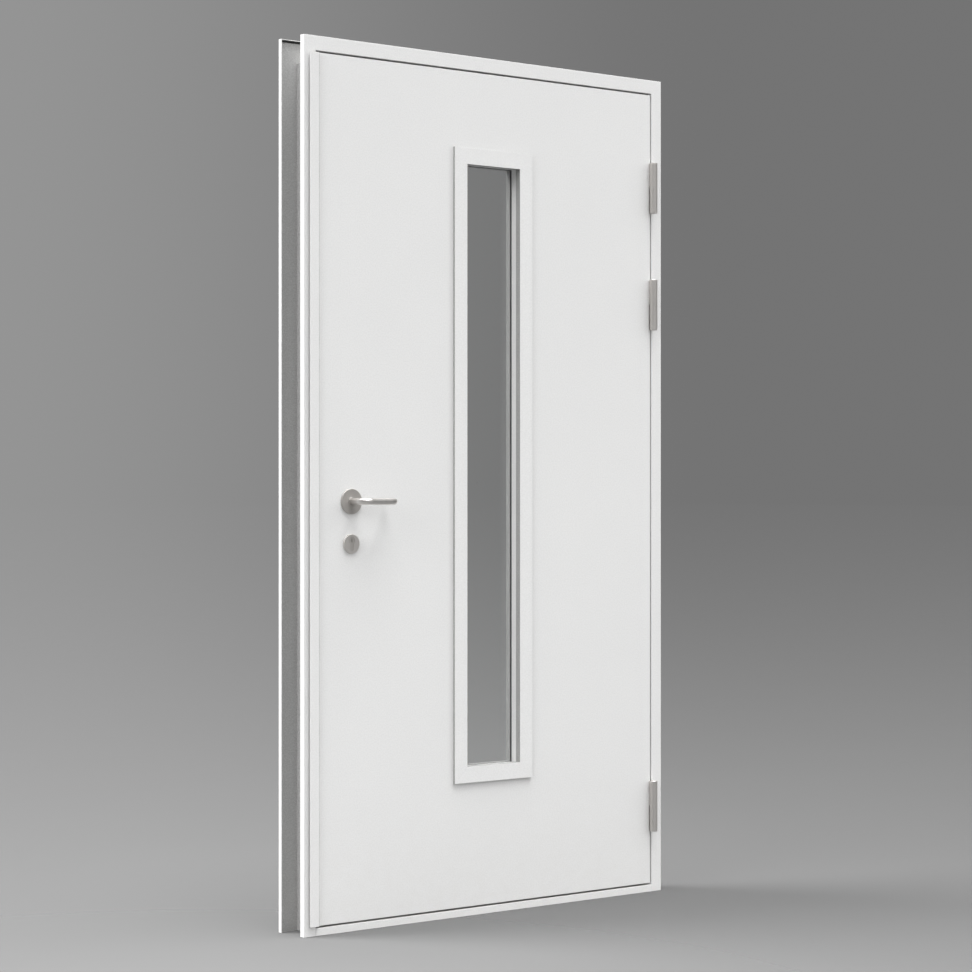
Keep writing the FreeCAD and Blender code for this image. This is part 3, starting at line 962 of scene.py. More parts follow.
# The trims' paint carries painted shade on its returns, beads, edges and ledges.
TRIM_PAINT = PowderPaint(
    "trim_paint",
    (0.810, 0.810, 0.805),
    (0.790, 0.790, 0.787),
    (0.35, 0.46),
    # Painted shade: grey on the trims' returns and beads, darker grey behind the pane.
    shade_grey=(0.36, 0.36, 0.355),
    shade_grey_dark=(0.28, 0.28, 0.275),
    # Painted shade: the trims' edges are darker than the coat.
    rub=replace(LEAF_PAINT.rub, colour=(0.60, 0.60, 0.595)),
    # Painted shade: dark grey on the trims' faces that look up, to dull the lit ledges.
    dust=replace(LEAF_PAINT.dust, ledges=0.9, colour=(0.22, 0.217, 0.21)),
    zone=ShadeZone.TRIM_RETURNS,
)
HINGE_STEEL = SatinSteel("hinge_steel", (0.76, 0.735, 0.71), (0.67, 0.648, 0.626), roughness=0.58)
PLATE_STEEL = SatinSteel("plate_steel", (0.62, 0.61, 0.59), (0.50, 0.49, 0.47), roughness=0.32)
CYLINDER_NICKEL = SatinSteel("cylinder_nickel", (0.74, 0.71, 0.68), (0.65, 0.63, 0.60), roughness=0.54)
LEVER_STEEL = SatinSteel(
    "lever_steel", (0.82, 0.796, 0.772), (0.72, 0.697, 0.674), GrainWay.LEVEL, roughness=0.34
)
HANDLE_ROSE_STEEL = SatinSteel(
    "handle_rose_steel", (0.66, 0.637, 0.612), (0.58, 0.558, 0.535), GrainWay.TURNED, roughness=0.60
)
# Painted light: the key roses take a lighter copy of the rose steel, to lift the shade they lie in.
KEY_ROSE_LIT_STEEL = replace(
    HANDLE_ROSE_STEEL, name="key_rose_steel", colour=(0.81, 0.784, 0.758), dull=(0.72, 0.697, 0.673)
)
ZINC = BrightZinc()
SEAL_RUBBER = SealRubber("seal_rubber", (0.045, 0.045, 0.046))
GASKET_RUBBER = SealRubber("gasket_rubber", (0.26, 0.26, 0.262))
BOARD = PressedBoard()
GLASS = ClearGlass()


# Modelling by operators


def clear_selection() -> None:
    """Leave edit mode and deselect everything."""
    if bpy.context.object is not None and bpy.context.object.mode != "OBJECT":
        bpy.ops.object.mode_set(mode="OBJECT")
    bpy.ops.object.select_all(action="DESELECT")


def take(piece: Piece) -> None:
    """Make a piece the only selected and active object.

    Args:
        piece: the piece.
    """
    clear_selection()
    piece.select_set(True)
    bpy.context.view_layer.objects.active = piece


def settle(piece: Piece) -> Piece:
    """Put a piece's place, turn and scale into its mesh.

    Args:
        piece: the piece.

    Returns:
        The same piece.
    """
    take(piece)
    bpy.ops.object.transform_apply(location=True, rotation=True, scale=True)
    return piece


@contextmanager
def shaping(piece: Piece) -> Iterator[None]:
    """Hold a piece in edit mode with nothing selected while it is shaped.

    Args:
        piece: the piece.
    """
    take(piece)
    bpy.ops.object.mode_set(mode="EDIT")
    bpy.ops.mesh.select_mode(type="FACE")
    bpy.ops.mesh.select_all(action="DESELECT")
    yield
    bpy.ops.mesh.select_all(action="SELECT")
    bpy.ops.mesh.normals_make_consistent(inside=False)
    bpy.ops.object.mode_set(mode="OBJECT")


def pick_faces(piece: Piece, wanted: Callable[[Vector, Vector], bool]) -> None:
    """Select faces of the piece being shaped.

    Args:
        piece: the piece in edit mode.
        wanted: test on a face's centre and normal.
    """
    bpy.ops.mesh.select_mode(type="FACE")
    bpy.ops.mesh.select_all(action="DESELECT")
    mesh = bmesh.from_edit_mesh(piece.data)
    mesh.normal_update()
    for face in mesh.faces:
        if wanted(face.calc_center_median(), face.normal):
            face.select_set(True)
    bmesh.update_edit_mesh(piece.data)


def pick_edges(piece: Piece, wanted: Callable[[Vector, Vector], bool]) -> None:
    """Select edges of the piece being shaped.

    Args:
        piece: the piece in edit mode.
        wanted: test on an edge's middle and its direction.
    """
    bpy.ops.mesh.select_mode(type="EDGE")
    bpy.ops.mesh.select_all(action="DESELECT")
    mesh = bmesh.from_edit_mesh(piece.data)
    for edge in mesh.edges:
        first, last = edge.verts[0].co, edge.verts[1].co
        if wanted((first + last) / 2, (last - first).normalized()):
            edge.select_set(True)
    bmesh.update_edit_mesh(piece.data)


def start_piece(name: str) -> Piece:
    """Name the object that an operator has just added, and settle it.

    Args:
        name: name of the piece.

    Returns:
        The piece.
    """
    piece = bpy.context.object
    piece.name = piece.data.name = name
    return settle(piece)


def add_block(name: str, low: Vector, high: Vector) -> Piece:
    """Start a piece from a block.

    Args:
        name: name of the piece.
        low: its lowest corner.
        high: its highest corner.

    Returns:
        The block, with its place in its mesh.
    """
    clear_selection()
    middle = (low + high) / 2
    bpy.ops.mesh.primitive_cube_add(size=1.0, location=middle, scale=high - low)
    return start_piece(name)


def add_drum(name: str, radius: float, height: float, middle: Point, sides: int) -> Piece:
    """Start a piece from an upright drum.

    Args:
        name: name of the piece.
        radius: its radius.
        height: its height.
        middle: its middle.
        sides: number of its sides.

    Returns:
        The drum, with its place in its mesh.
    """
    clear_selection()
    bpy.ops.mesh.primitive_cylinder_add(vertices=sides, radius=radius, depth=height, location=middle)
    return start_piece(name)


def smooth(piece: Piece, degrees: float = 35.0) -> Piece:
    """Shade a piece smooth.

    Args:
        piece: the piece.
        degrees: largest angle between faces that is smoothed.

    Returns:
        The same piece.
    """
    take(piece)
    bpy.ops.object.shade_smooth_by_angle(angle=math.radians(degrees))
    return piece


def dress(piece: Piece, material: Material) -> Piece:
    """Give a piece one finish all over.

    Args:
        piece: the piece.
        material: the finish's material.

    Returns:
        The same piece.
    """
    piece.data.materials.clear()
    piece.data.materials.append(material)
    for face in piece.data.polygons:
        face.material_index = 0
    return piece


def dress_nodes(material: Material, *nodes: str) -> None:
    """Give carried CAD nodes their finish.

    Args:
        material: the finish's material.
        nodes: names of the nodes.
    """
    for node in nodes:
        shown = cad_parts[node]
        if not shown.data.materials:
            shown.data.materials.append(material)
        for slot in shown.material_slots:
            slot.material = material


def join_pieces(name: str, parts: list[Piece]) -> Piece:
    """Join small parts into one piece.

    Args:
        name: name of the piece.
        parts: its parts, in place.

    Returns:
        The joined piece.
    """
    take(parts[0])
    for part in parts[1:]:
        part.select_set(True)
    if len(parts) > 1:
        bpy.ops.object.join()
    piece = bpy.context.object
    piece.name = piece.data.name = name
    return piece


@dataclass
class CrossScrew:
    """Raised countersunk screw head with a cross recess, modelled once and copied where it is driven.

    Attributes:
        radius: radius of the head.
        proud: height of the head over the plate.
        sunk: depth of the head in the plate.
        arm: half length of the recess's arms.
        slot: half width of the recess's arms.
        recess: depth of the recess.
        taper: size of the recess's floor as a share of its mouth.
        rim: rounding of the head's edge.
        edge: width beside the edge that the recess keeps off, in rims.
        sides: number of the head's sides.
        first_turn: turn of the first screw of a set, in degrees.
        next_turn: turn from each screw to the next, in degrees.
        pattern: the modelled screw, while screws are driven.
    """

    radius: float = 0.0038
    proud: float = 0.0007
    sunk: float = 0.0006
    arm: float = 0.0021
    slot: float = 0.00045
    recess: float = 0.00055
    taper: float = 0.8
    rim: float = 0.0004
    edge: float = 1.5
    sides: int = 28
    first_turn: float = 17.0
    next_turn: float = 41.0
    pattern: Piece | None = None

    def _model(self) -> Piece:
        """Shape the pattern at the origin, with its head looking up.

        Returns:
            The pattern object.
        """
        middle = (0.0, 0.0, (self.proud - self.sunk) / 2)
        piece = add_drum("screw_pattern", self.radius, self.proud + self.sunk, middle, self.sides)
        top = self.proud
        with shaping(piece):
            pick_edges(piece, lambda at, way: at.z > top - PLAY and abs(way.z) < ACROSS)
            bpy.ops.mesh.bevel(offset=self.rim, segments=3, profile=0.5)
            pick_faces(piece, lambda at, way: way.z > SQUARE and at.z > top - PLAY)
            bpy.ops.mesh.inset(thickness=self.rim, depth=0.0)
            for axis in (Vector((1, 0, 0)), Vector((0, 1, 0))):
                for place in (-self.arm, -self.slot, self.slot, self.arm):
                    pick_faces(piece, self._in_top)
                    bpy.ops.mesh.bisect(plane_co=axis * place, plane_no=axis)
            pick_faces(piece, lambda at, way: self._in_top(at, way) and self._in_cross(at))
            bpy.ops.mesh.extrude_region_move(TRANSFORM_OT_translate={"value": (0.0, 0.0, -self.recess)})
            floor = (0.0, 0.0, top - self.recess)
            bpy.ops.transform.resize(value=(self.taper, self.taper, 1.0), center_override=floor)
        return smooth(piece)

    def _in_top(self, at: Vector, way: Vector) -> bool:
        """Whether a face lies in the flat of the head."""
        inner = self.radius - self.rim * self.edge
        return way.z > SQUARE and at.z > self.proud - PLAY and math.hypot(at.x, at.y) < inner

    def _in_cross(self, at: Vector) -> bool:
        """Whether a point lies in the cross recess."""
        x, y = abs(at.x), abs(at.y)
        return (x < self.slot and y < self.arm) or (y < self.slot and x < self.arm)

    def drive(self, name: str, places: list[Vector], way: Vector, body: str, finish: Material) -> None:
        """Drive a set of screws as one piece.

        Args:
            name: name of the piece.
            places: the heads' centres on the plate.
            way: direction out of the plate.
            body: CAD body that they ride on.
            finish: their material.
        """
        if self.pattern is None:
            self.pattern = self._model()
        parts = []
        for number, place in enumerate(places):
            turn = Matrix.Rotation(math.radians(self.first_turn + self.next_turn * number), 4, "Z")
            copy = self.pattern.copy()
            copy.data = self.pattern.data.copy()
            bpy.context.scene.collection.objects.link(copy)
            aim = Vector((0, 0, 1)).rotation_difference(way).to_matrix().to_4x4()
            copy.matrix_world = Matrix.Translation(place) @ aim @ turn
            parts.append(settle(copy))
        piece = dress(join_pieces(name, parts), finish)
        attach(piece, body)
        LOG.info("%s: %d screws", name, len(places))

    def put_away(self) -> None:
        """Remove the pattern once every screw is driven."""
        if self.pattern is not None:
            bpy.data.objects.remove(self.pattern)
            self.pattern = None


@dataclass
class Workshop:
    """Materials and small hardware that the sub-assemblies share.

    Attributes:
        effects: the shared node groups.
        screw: the screw that holds every plate.
        mixed: materials built so far, by name.
    """

    effects: SharedEffects
    screw: CrossScrew = field(default_factory=CrossScrew)
    mixed: dict[str, Material] = field(default_factory=dict)

    def mix(self, finish: Finish) -> Material:
        """Give the material of a finish, built once.

        Args:
            finish: the finish.

        Returns:
            Its material.
        """
        if finish.name not in self.mixed:
            self.mixed[finish.name] = finish.material(self.effects)
        return self.mixed[finish.name]

    def drive(self, name: str, places: list[Vector], way: Point, body: str) -> None:
        """Drive a set of zinc plated screws; the arguments are those of CrossScrew.drive."""
        self.screw.drive(name, places, Vector(way), body, self.mix(ZINC))


# Sub-assemblies


@dataclass
class OuterFrame:
    """The four sided steel frame with its strike plate and its seals.

    Attributes:
        shop: the shared materials and hardware.
        edge: rounding of the seals' front edges.
        lip: width of the seal's edges beside its channel.
        channel: depth of the seal's channel.
        bead: width of each side of the channel beside the bead.
        bead_slope: width of the bead's slopes.
        bead_rise: height of the bead in the channel.
        strike_edge: distance from the strike plate's ends to its screws.
    """

    shop: Workshop
    edge: float = 0.0006
    lip: float = 0.0018
    channel: float = 0.0014
    bead: float = 0.0022
    bead_slope: float = 0.0005
    bead_rise: float = 0.0011
    strike_edge: float = 0.010

    def build(self) -> None:
        """Dress the CAD nodes and add the seals' profiles and the strike's screws."""
        paint = self.shop.mix(FRAME_PAINT)
        dress_nodes(paint, "frame_jamb_latch", "frame_jamb_hinge", "frame_head", "frame_sill")
        dress_nodes(self.shop.mix(PLATE_STEEL), "strike_plate")
        for place in ("latch", "hinge", "head", "sill"):
            self._seal(place)
        self._strike_screws()
        LOG.info("outer frame: 2 jambs, head, sill, strike plate, 4 seals")

    def _seal(self, place: str) -> None:
        """Model one seal with a channel and a raised bead, in its CAD strip's place.

        Args:
            place: which seal it is.
        """
        low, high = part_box("seal_" + place)
        piece = add_block("seal_profile_" + place, low, high)
        with shaping(piece):
            pick_edges(piece, lambda at, way: at.y < low.y + PLAY and abs(way.y) < ACROSS)
            bpy.ops.mesh.bevel(offset=self.edge, segments=2, profile=0.6)
            pick_faces(piece, lambda at, way: way.y < -SQUARE and at.y < low.y + PLAY)
            bpy.ops.mesh.inset(thickness=self.lip, depth=-self.channel)
            bpy.ops.mesh.inset(thickness=self.bead, depth=0.0)
            bpy.ops.mesh.inset(thickness=self.bead_slope, depth=self.bead_rise)
        smooth(piece)
        dress(piece, self.shop.mix(SEAL_RUBBER))
        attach(piece, "frame")
        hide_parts("seal_" + place)

    def _strike_screws(self) -> None:
        """Drive the two screws of the strike plate."""
        low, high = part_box("strike_plate")
        middle = (low.y + high.y) / 2
        heights = (low.z + self.strike_edge, high.z - self.strike_edge)
        places = [Vector((high.x, middle, z)) for z in heights]
        self.shop.drive("strike_screws", places, (1, 0, 0), "frame")


@dataclass
class DoorLeaf:
    """The leaf with its sheets, filling, cover strip and lock edge.

    Attributes:
        shop: the shared materials and hardware.
        bolt_proud: how far the drawn bolts stand over the faceplate.
        bolt_root: how deep their ends reach into the faceplate.
        latch_half: half height of the latch bolt.
        dead_half: half height of the dead bolt.
        bolt_width: thickness of both bolts across the leaf.
        bolt_edge: rounding of the bolts' ends.
        nose: how far the latch's nose slopes back, as a share of bolt_proud.
        plate_edge: distance from the faceplate's ends to its screws.
    """

    shop: Workshop
    bolt_proud: float = 0.0008
    bolt_root: float = 0.001
    latch_half: float = 0.016
    dead_half: float = 0.013
    bolt_width: float = 0.012
    bolt_edge: float = 0.0003
    nose: float = 0.6
    plate_edge: float = 0.009

    def build(self) -> None:
        """Dress the CAD nodes and add the bolts' ends and the faceplate's screws."""
        dress_nodes(self.shop.mix(LEAF_PAINT), "leaf_front_tray", "leaf_back_sheet")
        _, strip_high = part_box("latch_cover_strip")
        # The cover strip's paint has a painted shadow line along its hinge-side edge.
        strip_paint = replace(LEAF_PAINT, name="strip_paint", shade_line_edge=strip_high.x)
        dress_nodes(self.shop.mix(strip_paint), "latch_cover_strip")
        blocks = ("leaf_core_latch", "leaf_core_hinge", "leaf_core_top", "leaf_core_bottom")
        dress_nodes(self.shop.mix(BOARD), *blocks)
        dress_nodes(self.shop.mix(PLATE_STEEL), "lock_faceplate")
        self._bolt("latch_bolt_end", "handle_rose_front", self.latch_half, True)
        self._bolt("dead_bolt_end", "key_rose_front", self.dead_half, False)
        low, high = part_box("lock_faceplate")
        middle = (low.y + high.y) / 2
        places = [Vector((low.x, middle, z)) for z in (low.z + self.plate_edge, high.z - self.plate_edge)]
        self.shop.drive("faceplate_screws", places, (-1, 0, 0), "leaf")
        LOG.info("leaf: 2 sheets, 4 filling blocks, cover strip, faceplate, 2 bolt ends")

    def _bolt(self, name: str, rose: str, half: float, slanted: bool) -> None:
        """Model the end of a drawn bolt in the faceplate.

        Args:
            name: name of the piece.
            rose: CAD node whose middle it is level with.
            half: half of its height.
            slanted: whether its nose slopes, as a latch's does.
        """
        rose_low, rose_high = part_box(rose)
        height = (rose_low.z + rose_high.z) / 2
        low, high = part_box("lock_faceplate")
        middle = (low.y + high.y) / 2
        first = Vector((low.x - self.bolt_proud, middle - self.bolt_width / 2, height - half))
        last = Vector((low.x + self.bolt_root, middle + self.bolt_width / 2, height + half))
        piece = add_block(name, first, last)
        with shaping(piece):
            if slanted:
                pick_edges(piece, lambda at, way: at.x < first.x + PLAY and at.y > last.y - PLAY)
                bpy.ops.transform.translate(value=(self.bolt_proud * self.nose, 0.0, 0.0))
            pick_edges(piece, lambda at, way: at.x < low.x)
            bpy.ops.mesh.bevel(offset=self.bolt_edge, segments=2, profile=0.5)
        smooth(piece)
        dress(piece, self.shop.mix(ZINC))
        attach(piece, "leaf")


@dataclass
class VisionPanel:
    """The narrow glazed panel with its trims, gaskets and pane.

    Attributes:
        shop: the shared materials and hardware.
        screw_inset: distance from the trim's ends to its first screws.
        screws_a_side: number of screws in each long rear bar.
    """

    shop: Workshop
    screw_inset: float = 0.055
    screws_a_side: int = 6

    def build(self) -> None:
        """Dress the CAD nodes and drive the rear trim's screws."""
        for face in ("front", "back"):
            bars = [f"trim_{face}_{bar}" for bar in ("latch", "hinge", "top", "bottom")]
            dress_nodes(self.shop.mix(TRIM_PAINT), *bars)
        dress_nodes(self.shop.mix(GASKET_RUBBER), "gasket_front", "gasket_back")
        dress_nodes(self.shop.mix(GLASS), "glass_pane")
        self._rear_screws()
        LOG.info("vision panel: 8 trim bars, 2 gaskets, pane")

    def _rear_screws(self) -> None:
        """Drive the screws that hold the rear trim."""
        for bar in ("latch", "hinge"):
            low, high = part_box("trim_back_" + bar)
            first, last = low.z + self.screw_inset, high.z - self.screw_inset
            step = (last - first) / (self.screws_a_side - 1)
            centre = (low.x + high.x) / 2
            places = [Vector((centre, high.y, first + step * n)) for n in range(self.screws_a_side)]
            self.shop.drive("trim_screws_" + bar, places, (0, 1, 0), "leaf")
        for bar in ("top", "bottom"):
            low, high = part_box("trim_back_" + bar)
            place = Vector((0.0, high.y, (low.z + high.z) / 2))
            self.shop.drive("trim_screw_" + bar, [place], (0, 1, 0), "leaf")


@dataclass
class HingeSet:
    """Three barrel hinges with their wings' screws and the pins' plugs.

    Attributes:
        shop: the shared materials and hardware.
        count: number of hinges.
        knuckle_radius: radius of the barrels.
        wing_face: distance from the pin's axis to the wings' screwed faces.
        screw_rows: heights of a wing's screws from the hinge's middle.
        screw_depth: distance of the screws from the wing's rear edge.
        plug_radius: radius of the pins' end plugs.
        plug_rise: height of a plug over the knuckle.
        plug_sides: number of a plug's sides.
        dome: rounding of a plug's edge, as a share of plug_rise.
        dish: width of the ring round a plug's dish, as a share of plug_radius.
        dish_depth: depth of that dish, as a share of plug_rise.
    """

    shop: Workshop
    count: int = 3
    knuckle_radius: float = 0.0095
    wing_face: float = 0.0025
    screw_rows: tuple[float, ...] = (-0.048, 0.0, 0.048)
    screw_depth: float = 0.014
    plug_radius: float = 0.0042
    plug_rise: float = 0.0007
    plug_sides: int = 32
    dome: float = 0.9
    dish: float = 0.35
    dish_depth: float = 0.3

    def build(self) -> None:
        """Dress each hinge, drive its screws and close its ends."""
        halves = (("frame", 1), ("leaf", -1))
        for number in range(1, self.count + 1):
            for body, side in halves:
                node = f"hinge_{body}_{number}"
                dress_nodes(self.shop.mix(HINGE_STEEL), node)
                self._wing_screws(node, body, side)
            for body, side in halves:
                self._plug(f"hinge_{body}_{number}", body, -side)
        LOG.info("hinges: %d pairs of knuckles and wings", self.count)

    def _wing_screws(self, node: str, body: str, side: int) -> None:
        """Drive the screws of one wing.

        Args:
            node: the hinge half.
            body: the CAD body that carries it.
            side: 1 for the wing in the jamb, -1 for the one in the leaf.
        """
        low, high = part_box(node)
        face = (low.x + high.x) / 2 + side * self.wing_face
        depth = high.y - self.screw_depth
        middle = (low.z + high.z) / 2
        places = [Vector((face, depth, middle + row)) for row in self.screw_rows]
        self.shop.drive(node + "_screws", places, (-side, 0, 0), body)

    def _plug(self, node: str, body: str, end: int) -> None:
        """Model the domed plug at one end of the pin.

        Args:
            node: the hinge half.
            body: the CAD body that carries it.
            end: 1 for the upper end, -1 for the lower.
        """
        low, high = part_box(node)
        level = high.z if end > 0 else low.z
        place = ((low.x + high.x) / 2, low.y + self.knuckle_radius, level)
        piece = add_drum(node + "_plug", self.plug_radius, self.plug_rise * 2, place, self.plug_sides)
        tip = level + end * self.plug_rise
        with shaping(piece):
            pick_edges(piece, lambda at, way: abs(at.z - tip) < PLAY and abs(way.z) < ACROSS)
            bpy.ops.mesh.bevel(offset=self.plug_rise * self.dome, segments=3, profile=0.5)
            pick_faces(piece, lambda at, way: way.z * end > SQUARE and abs(at.z - tip) < PLAY)
            dish_depth = self.plug_rise * self.dish_depth
            bpy.ops.mesh.inset(thickness=self.plug_radius * self.dish, depth=-dish_depth)
        smooth(piece, degrees=40.0)
        dress(piece, self.shop.mix(HINGE_STEEL))
        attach(piece, body)


@dataclass
class LeverSet:
    """Lever handles, roses and key roses on both faces.

    Attributes:
        shop: the shared materials and hardware.
        grub_radius: radius of the grub screw under each lever.
        grub_length: length of the grub screw.
        grub_out: distance of the grub screw from the leaf's face.
        grub_proud: how far it stands below the bar.
        grub_sides: number of its sides.
        grub_edge: bevel of its rim.
        wall: width of the ring round its socket, as a share of grub_radius.
        socket_slope: width of the socket's slope.
        socket_depth: depth of its socket.
        rim: least distance of its rim from its axis, as a share of grub_radius.
    """

    shop: Workshop
    grub_radius: float = 0.0024
    grub_length: float = 0.003
    grub_out: float = 0.019
    grub_proud: float = 0.0004
    grub_sides: int = 24
    grub_edge: float = 0.0002
    wall: float = 0.45
    socket_slope: float = 0.0001
    socket_depth: float = 0.0012
    rim: float = 0.9

    def build(self) -> None:
        """Dress the CAD nodes and add the grub screws."""
        for side in Side:
            face = side.name.lower()
            for kind, steel in (("handle_rose_", HANDLE_ROSE_STEEL), ("key_rose_", KEY_ROSE_LIT_STEEL)):
                low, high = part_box(kind + face)
                turned = replace(steel, name=kind + face + "_steel", centre=tuple((low + high) / 2))
                dress_nodes(self.shop.mix(turned), kind + face)
            dress_nodes(self.shop.mix(LEVER_STEEL), "lever_" + face)
            self._grub(side)
        dress_nodes(self.shop.mix(PLATE_STEEL), "spindle")
        dress_nodes(self.shop.mix(CYLINDER_NICKEL), "lock_cylinder")
        LOG.info("lever set: 2 levers, 2 roses, 2 key roses, lock cylinder, spindle")

    def _grub(self, side: Side) -> None:
        """Model the grub screw in the underside of one lever's neck.

        Args:
            side: the face of the door.
        """
        face = side.name.lower()
        rose_low, rose_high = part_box("handle_rose_" + face)
        centre = (rose_low + rose_high) / 2
        surface = rose_high.y if side is Side.FRONT else rose_low.y
        low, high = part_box("lever_" + face)
        foot = low.z - self.grub_proud
        place = (centre.x, surface + side.value * self.grub_out, foot + self.grub_length / 2)
        name = "lever_grub_screw_" + face
        piece = add_drum(name, self.grub_radius, self.grub_length, place, self.grub_sides)
        reach = self.grub_radius * self.rim
        with shaping(piece):
            pick_faces(piece, lambda at, way: way.z < -SQUARE)
            bpy.ops.mesh.inset(thickness=self.grub_radius * self.wall, depth=0.0)
            bpy.ops.mesh.inset(thickness=self.socket_slope, depth=-self.socket_depth)
            pick_edges(
                piece,
                lambda at, way: at.z < foot + PLAY and math.hypot(at.x - place[0], at.y - place[1]) > reach,
            )
            bpy.ops.mesh.bevel(offset=self.grub_edge, segments=1)
        smooth(piece)
        dress(piece, self.shop.mix(LEVER_STEEL))
        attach(piece, "lever")


# Studio


@dataclass(frozen=True)
class BroadLamp:
    """A broad, far lamp.

    Attributes:
        name: name of the lamp.
        source: direction from the door towards the lamp.
        spread: angle that the lamp fills, in degrees.
        strength: its light on a face turned to it.
        sheen: whether metal and glass mirror it; a polarised lamp leaves no sheen.
    """

    name: str
    source: Point
    spread: float
    strength: float
    sheen: bool = True

    def hang(self) -> None:
        """Hang the lamp in the studio."""
        data = bpy.data.lights.new(self.name, "SUN")
        data.angle = math.radians(self.spread)
        data.energy = self.strength
        lamp = bpy.data.objects.new(self.name, data)
        lamp.rotation_euler = Vector(self.source).to_track_quat("Z", "Y").to_euler()
        lamp.visible_glossy = self.sheen
        bpy.context.scene.collection.objects.link(lamp)


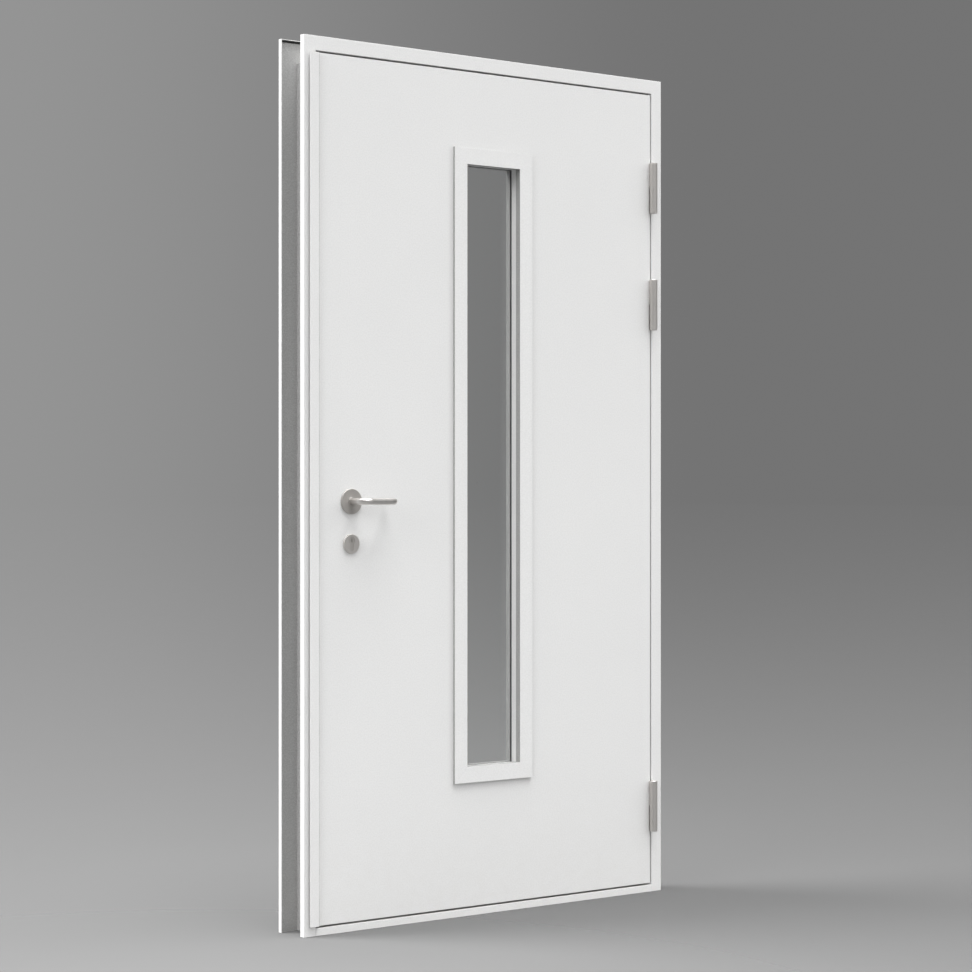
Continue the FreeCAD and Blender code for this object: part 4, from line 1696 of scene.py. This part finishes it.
@dataclass
class Studio:
    """Floor, air, lamps and camera of the photograph's studio.

    Attributes:
        lens: focal length in millimetres.
        sensor: width of the camera's sensor in millimetres.
        eye: place of the camera.
        heading: turn of the camera from looking along +Y, in degrees.
        rise: upward shift of the frame.
        sight: nearest and farthest distance that the camera sees.
        floor_size: length of the floor's sides.
        floor_level: height of the floor, just below the sill.
        floor_colour: colour of the floor near the door.
        floor_shade: brightness of its duller patches, as a share of floor_colour.
        floor_mottle: noise of those patches.
        fade: distance from light_pool_centre at which the floor has half faded into the air.
        fade_power: how steeply it fades there.
        light_pool_centre: where the floor is fullest, to the front left of the door; fading into the darker
            air away from it paints a pool of light there.
        air_light: strength of the even light in the room.
        air_dark: grey behind the door on the right.
        air_pale: grey behind the door on the left.
        air_turn: share of leftward look where the grey starts to pale and where it is palest.
        lamps: the broad lamps.
    """

    lens: float = 100.0
    sensor: float = 36.0
    eye: Point = (-4.3075, -5.1102, 1.0455)
    heading: float = -40.27
    rise: float = 0.00175
    sight: Limits = (0.1, 400.0)
    floor_size: float = 240.0
    floor_level: float = -0.0006
    floor_colour: Colour = (0.139, 0.139, 0.139)
    floor_shade: float = 0.985
    floor_mottle: Noise = Noise(1.3, 3.0)
    fade: float = 3.0
    fade_power: float = 1.2
    light_pool_centre: Point = (-1.4, -0.7, 0.0)
    air_light: float = 0.40
    air_dark: Colour = (0.174, 0.174, 0.174)
    air_pale: Colour = (0.300, 0.300, 0.300)
    air_turn: Limits = (-0.09, 0.20)
    lamps: tuple[BroadLamp, ...] = (
        BroadLamp("key_light", (0.114, -0.811, 0.574), 60.0, 0.50),
        BroadLamp("top_light", (0.0, -0.13, 0.992), 44.0, 5.2),
        BroadLamp("rim_light", (-0.75, 0.63, 1.45), 28.0, 4.9),
        BroadLamp("right_light", (0.84, -0.34, 0.42), 44.0, 1.15, sheen=False),
        BroadLamp("left_light", (-0.88, -0.16, 0.44), 34.0, 1.50, sheen=False),
    )

    def build(self) -> None:
        """Set up the whole studio."""
        self._floor()
        self._air()
        for lamp in self.lamps:
            lamp.hang()
        self._camera()
        bpy.context.scene.view_settings.view_transform = "Standard"
        LOG.info("studio: floor, air, %d broad lamps, camera", len(self.lamps))

    def _camera(self) -> None:
        """Stand the camera where the photograph was taken."""
        data = bpy.data.cameras.new("studio_camera")
        data.lens = self.lens
        data.sensor_width = self.sensor
        data.shift_y = self.rise
        data.clip_start, data.clip_end = self.sight
        camera = bpy.data.objects.new("studio_camera", data)
        camera.location = self.eye
        camera.rotation_euler = Euler((math.radians(90.0), 0.0, math.radians(self.heading)))
        bpy.context.scene.collection.objects.link(camera)
        bpy.context.scene.camera = camera

    def _floor(self) -> None:
        """Lay a floor that fades into the air with distance from a point to the front left of the door,
        which paints a pool of light there.
        """
        clear_selection()
        place = (0.0, 0.0, self.floor_level)
        bpy.ops.mesh.primitive_grid_add(
            x_subdivisions=4, y_subdivisions=4, size=self.floor_size, location=place
        )
        floor = start_piece("studio_floor")
        material = bpy.data.materials.new("studio_floor")
        sheet = NodeSheet(blank_tree(material))
        where = sheet.add("ShaderNodeTexCoord").outputs["Object"]
        dark = tuple(self.floor_shade * value for value in self.floor_colour)
        colour = sheet.blend(sheet.clouds(where, self.floor_mottle), dark, self.floor_colour)
        matt = sheet.add("ShaderNodeBsdfDiffuse", {"Color": colour, "Roughness": 0.0})
        clear = sheet.add("ShaderNodeBsdfTransparent")
        # Painted pool of light: the floor is brightest round light_pool_centre and fades into the darker
        # air away from it.
        far = sheet.math("DIVIDE", sheet.measure("DISTANCE", where, self.light_pool_centre), self.fade)
        steep = sheet.math("POWER", far, self.fade_power)
        near = sheet.math("DIVIDE", 1.0, sheet.math("ADD", steep, 1.0))
        mix = sheet.add("ShaderNodeMixShader", {0: near, 1: clear.outputs[0], 2: matt.outputs[0]})
        sheet.add("ShaderNodeOutputMaterial", {"Surface": mix.outputs[0]})
        dress(floor, material)

    def _air(self) -> None:
        """Fill the room with even light, and show a plain grey with a pale side behind the door."""
        world = bpy.data.worlds.new("studio_air")
        bpy.context.scene.world = world
        sheet = NodeSheet(blank_tree(world))
        way = sheet.add("ShaderNodeTexCoord").outputs["Generated"]
        turn = math.radians(self.heading)
        left = (-math.cos(turn), -math.sin(turn), 0.0)
        along = sheet.measure("DOT_PRODUCT", way, left)
        edges = {"Value": along, "From Min": self.air_turn[0], "From Max": self.air_turn[1]}
        share = sheet.add("ShaderNodeMapRange", edges, interpolation_type="SMOOTHSTEP").outputs["Result"]
        grey = sheet.blend(share, self.air_dark, self.air_pale)
        seen = sheet.add("ShaderNodeBackground", {"Color": grey, "Strength": 1.0})
        light = sheet.add("ShaderNodeBackground", {"Color": (1, 1, 1, 1), "Strength": self.air_light})
        ray = sheet.add("ShaderNodeLightPath").outputs
        some = sheet.math("ADD", ray["Is Camera Ray"], ray["Is Glossy Ray"])
        shown = sheet.math("ADD", some, ray["Is Transmission Ray"], clamp=True)
        mix = sheet.add("ShaderNodeMixShader", {0: shown, 1: light.outputs[0], 2: seen.outputs[0]})
        sheet.add("ShaderNodeOutputWorld", {"Surface": mix.outputs[0]})


def main() -> None:
    """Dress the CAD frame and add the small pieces."""
    logging.basicConfig(level=logging.INFO, format="%(name)s: %(message)s")
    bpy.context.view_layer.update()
    shop = Workshop(SharedEffects())
    Studio().build()
    for part in (OuterFrame(shop), DoorLeaf(shop), VisionPanel(shop), HingeSet(shop), LeverSet(shop)):
        part.build()
    shop.screw.put_away()
    clear_selection()


if __name__ == "__main__":
    main()
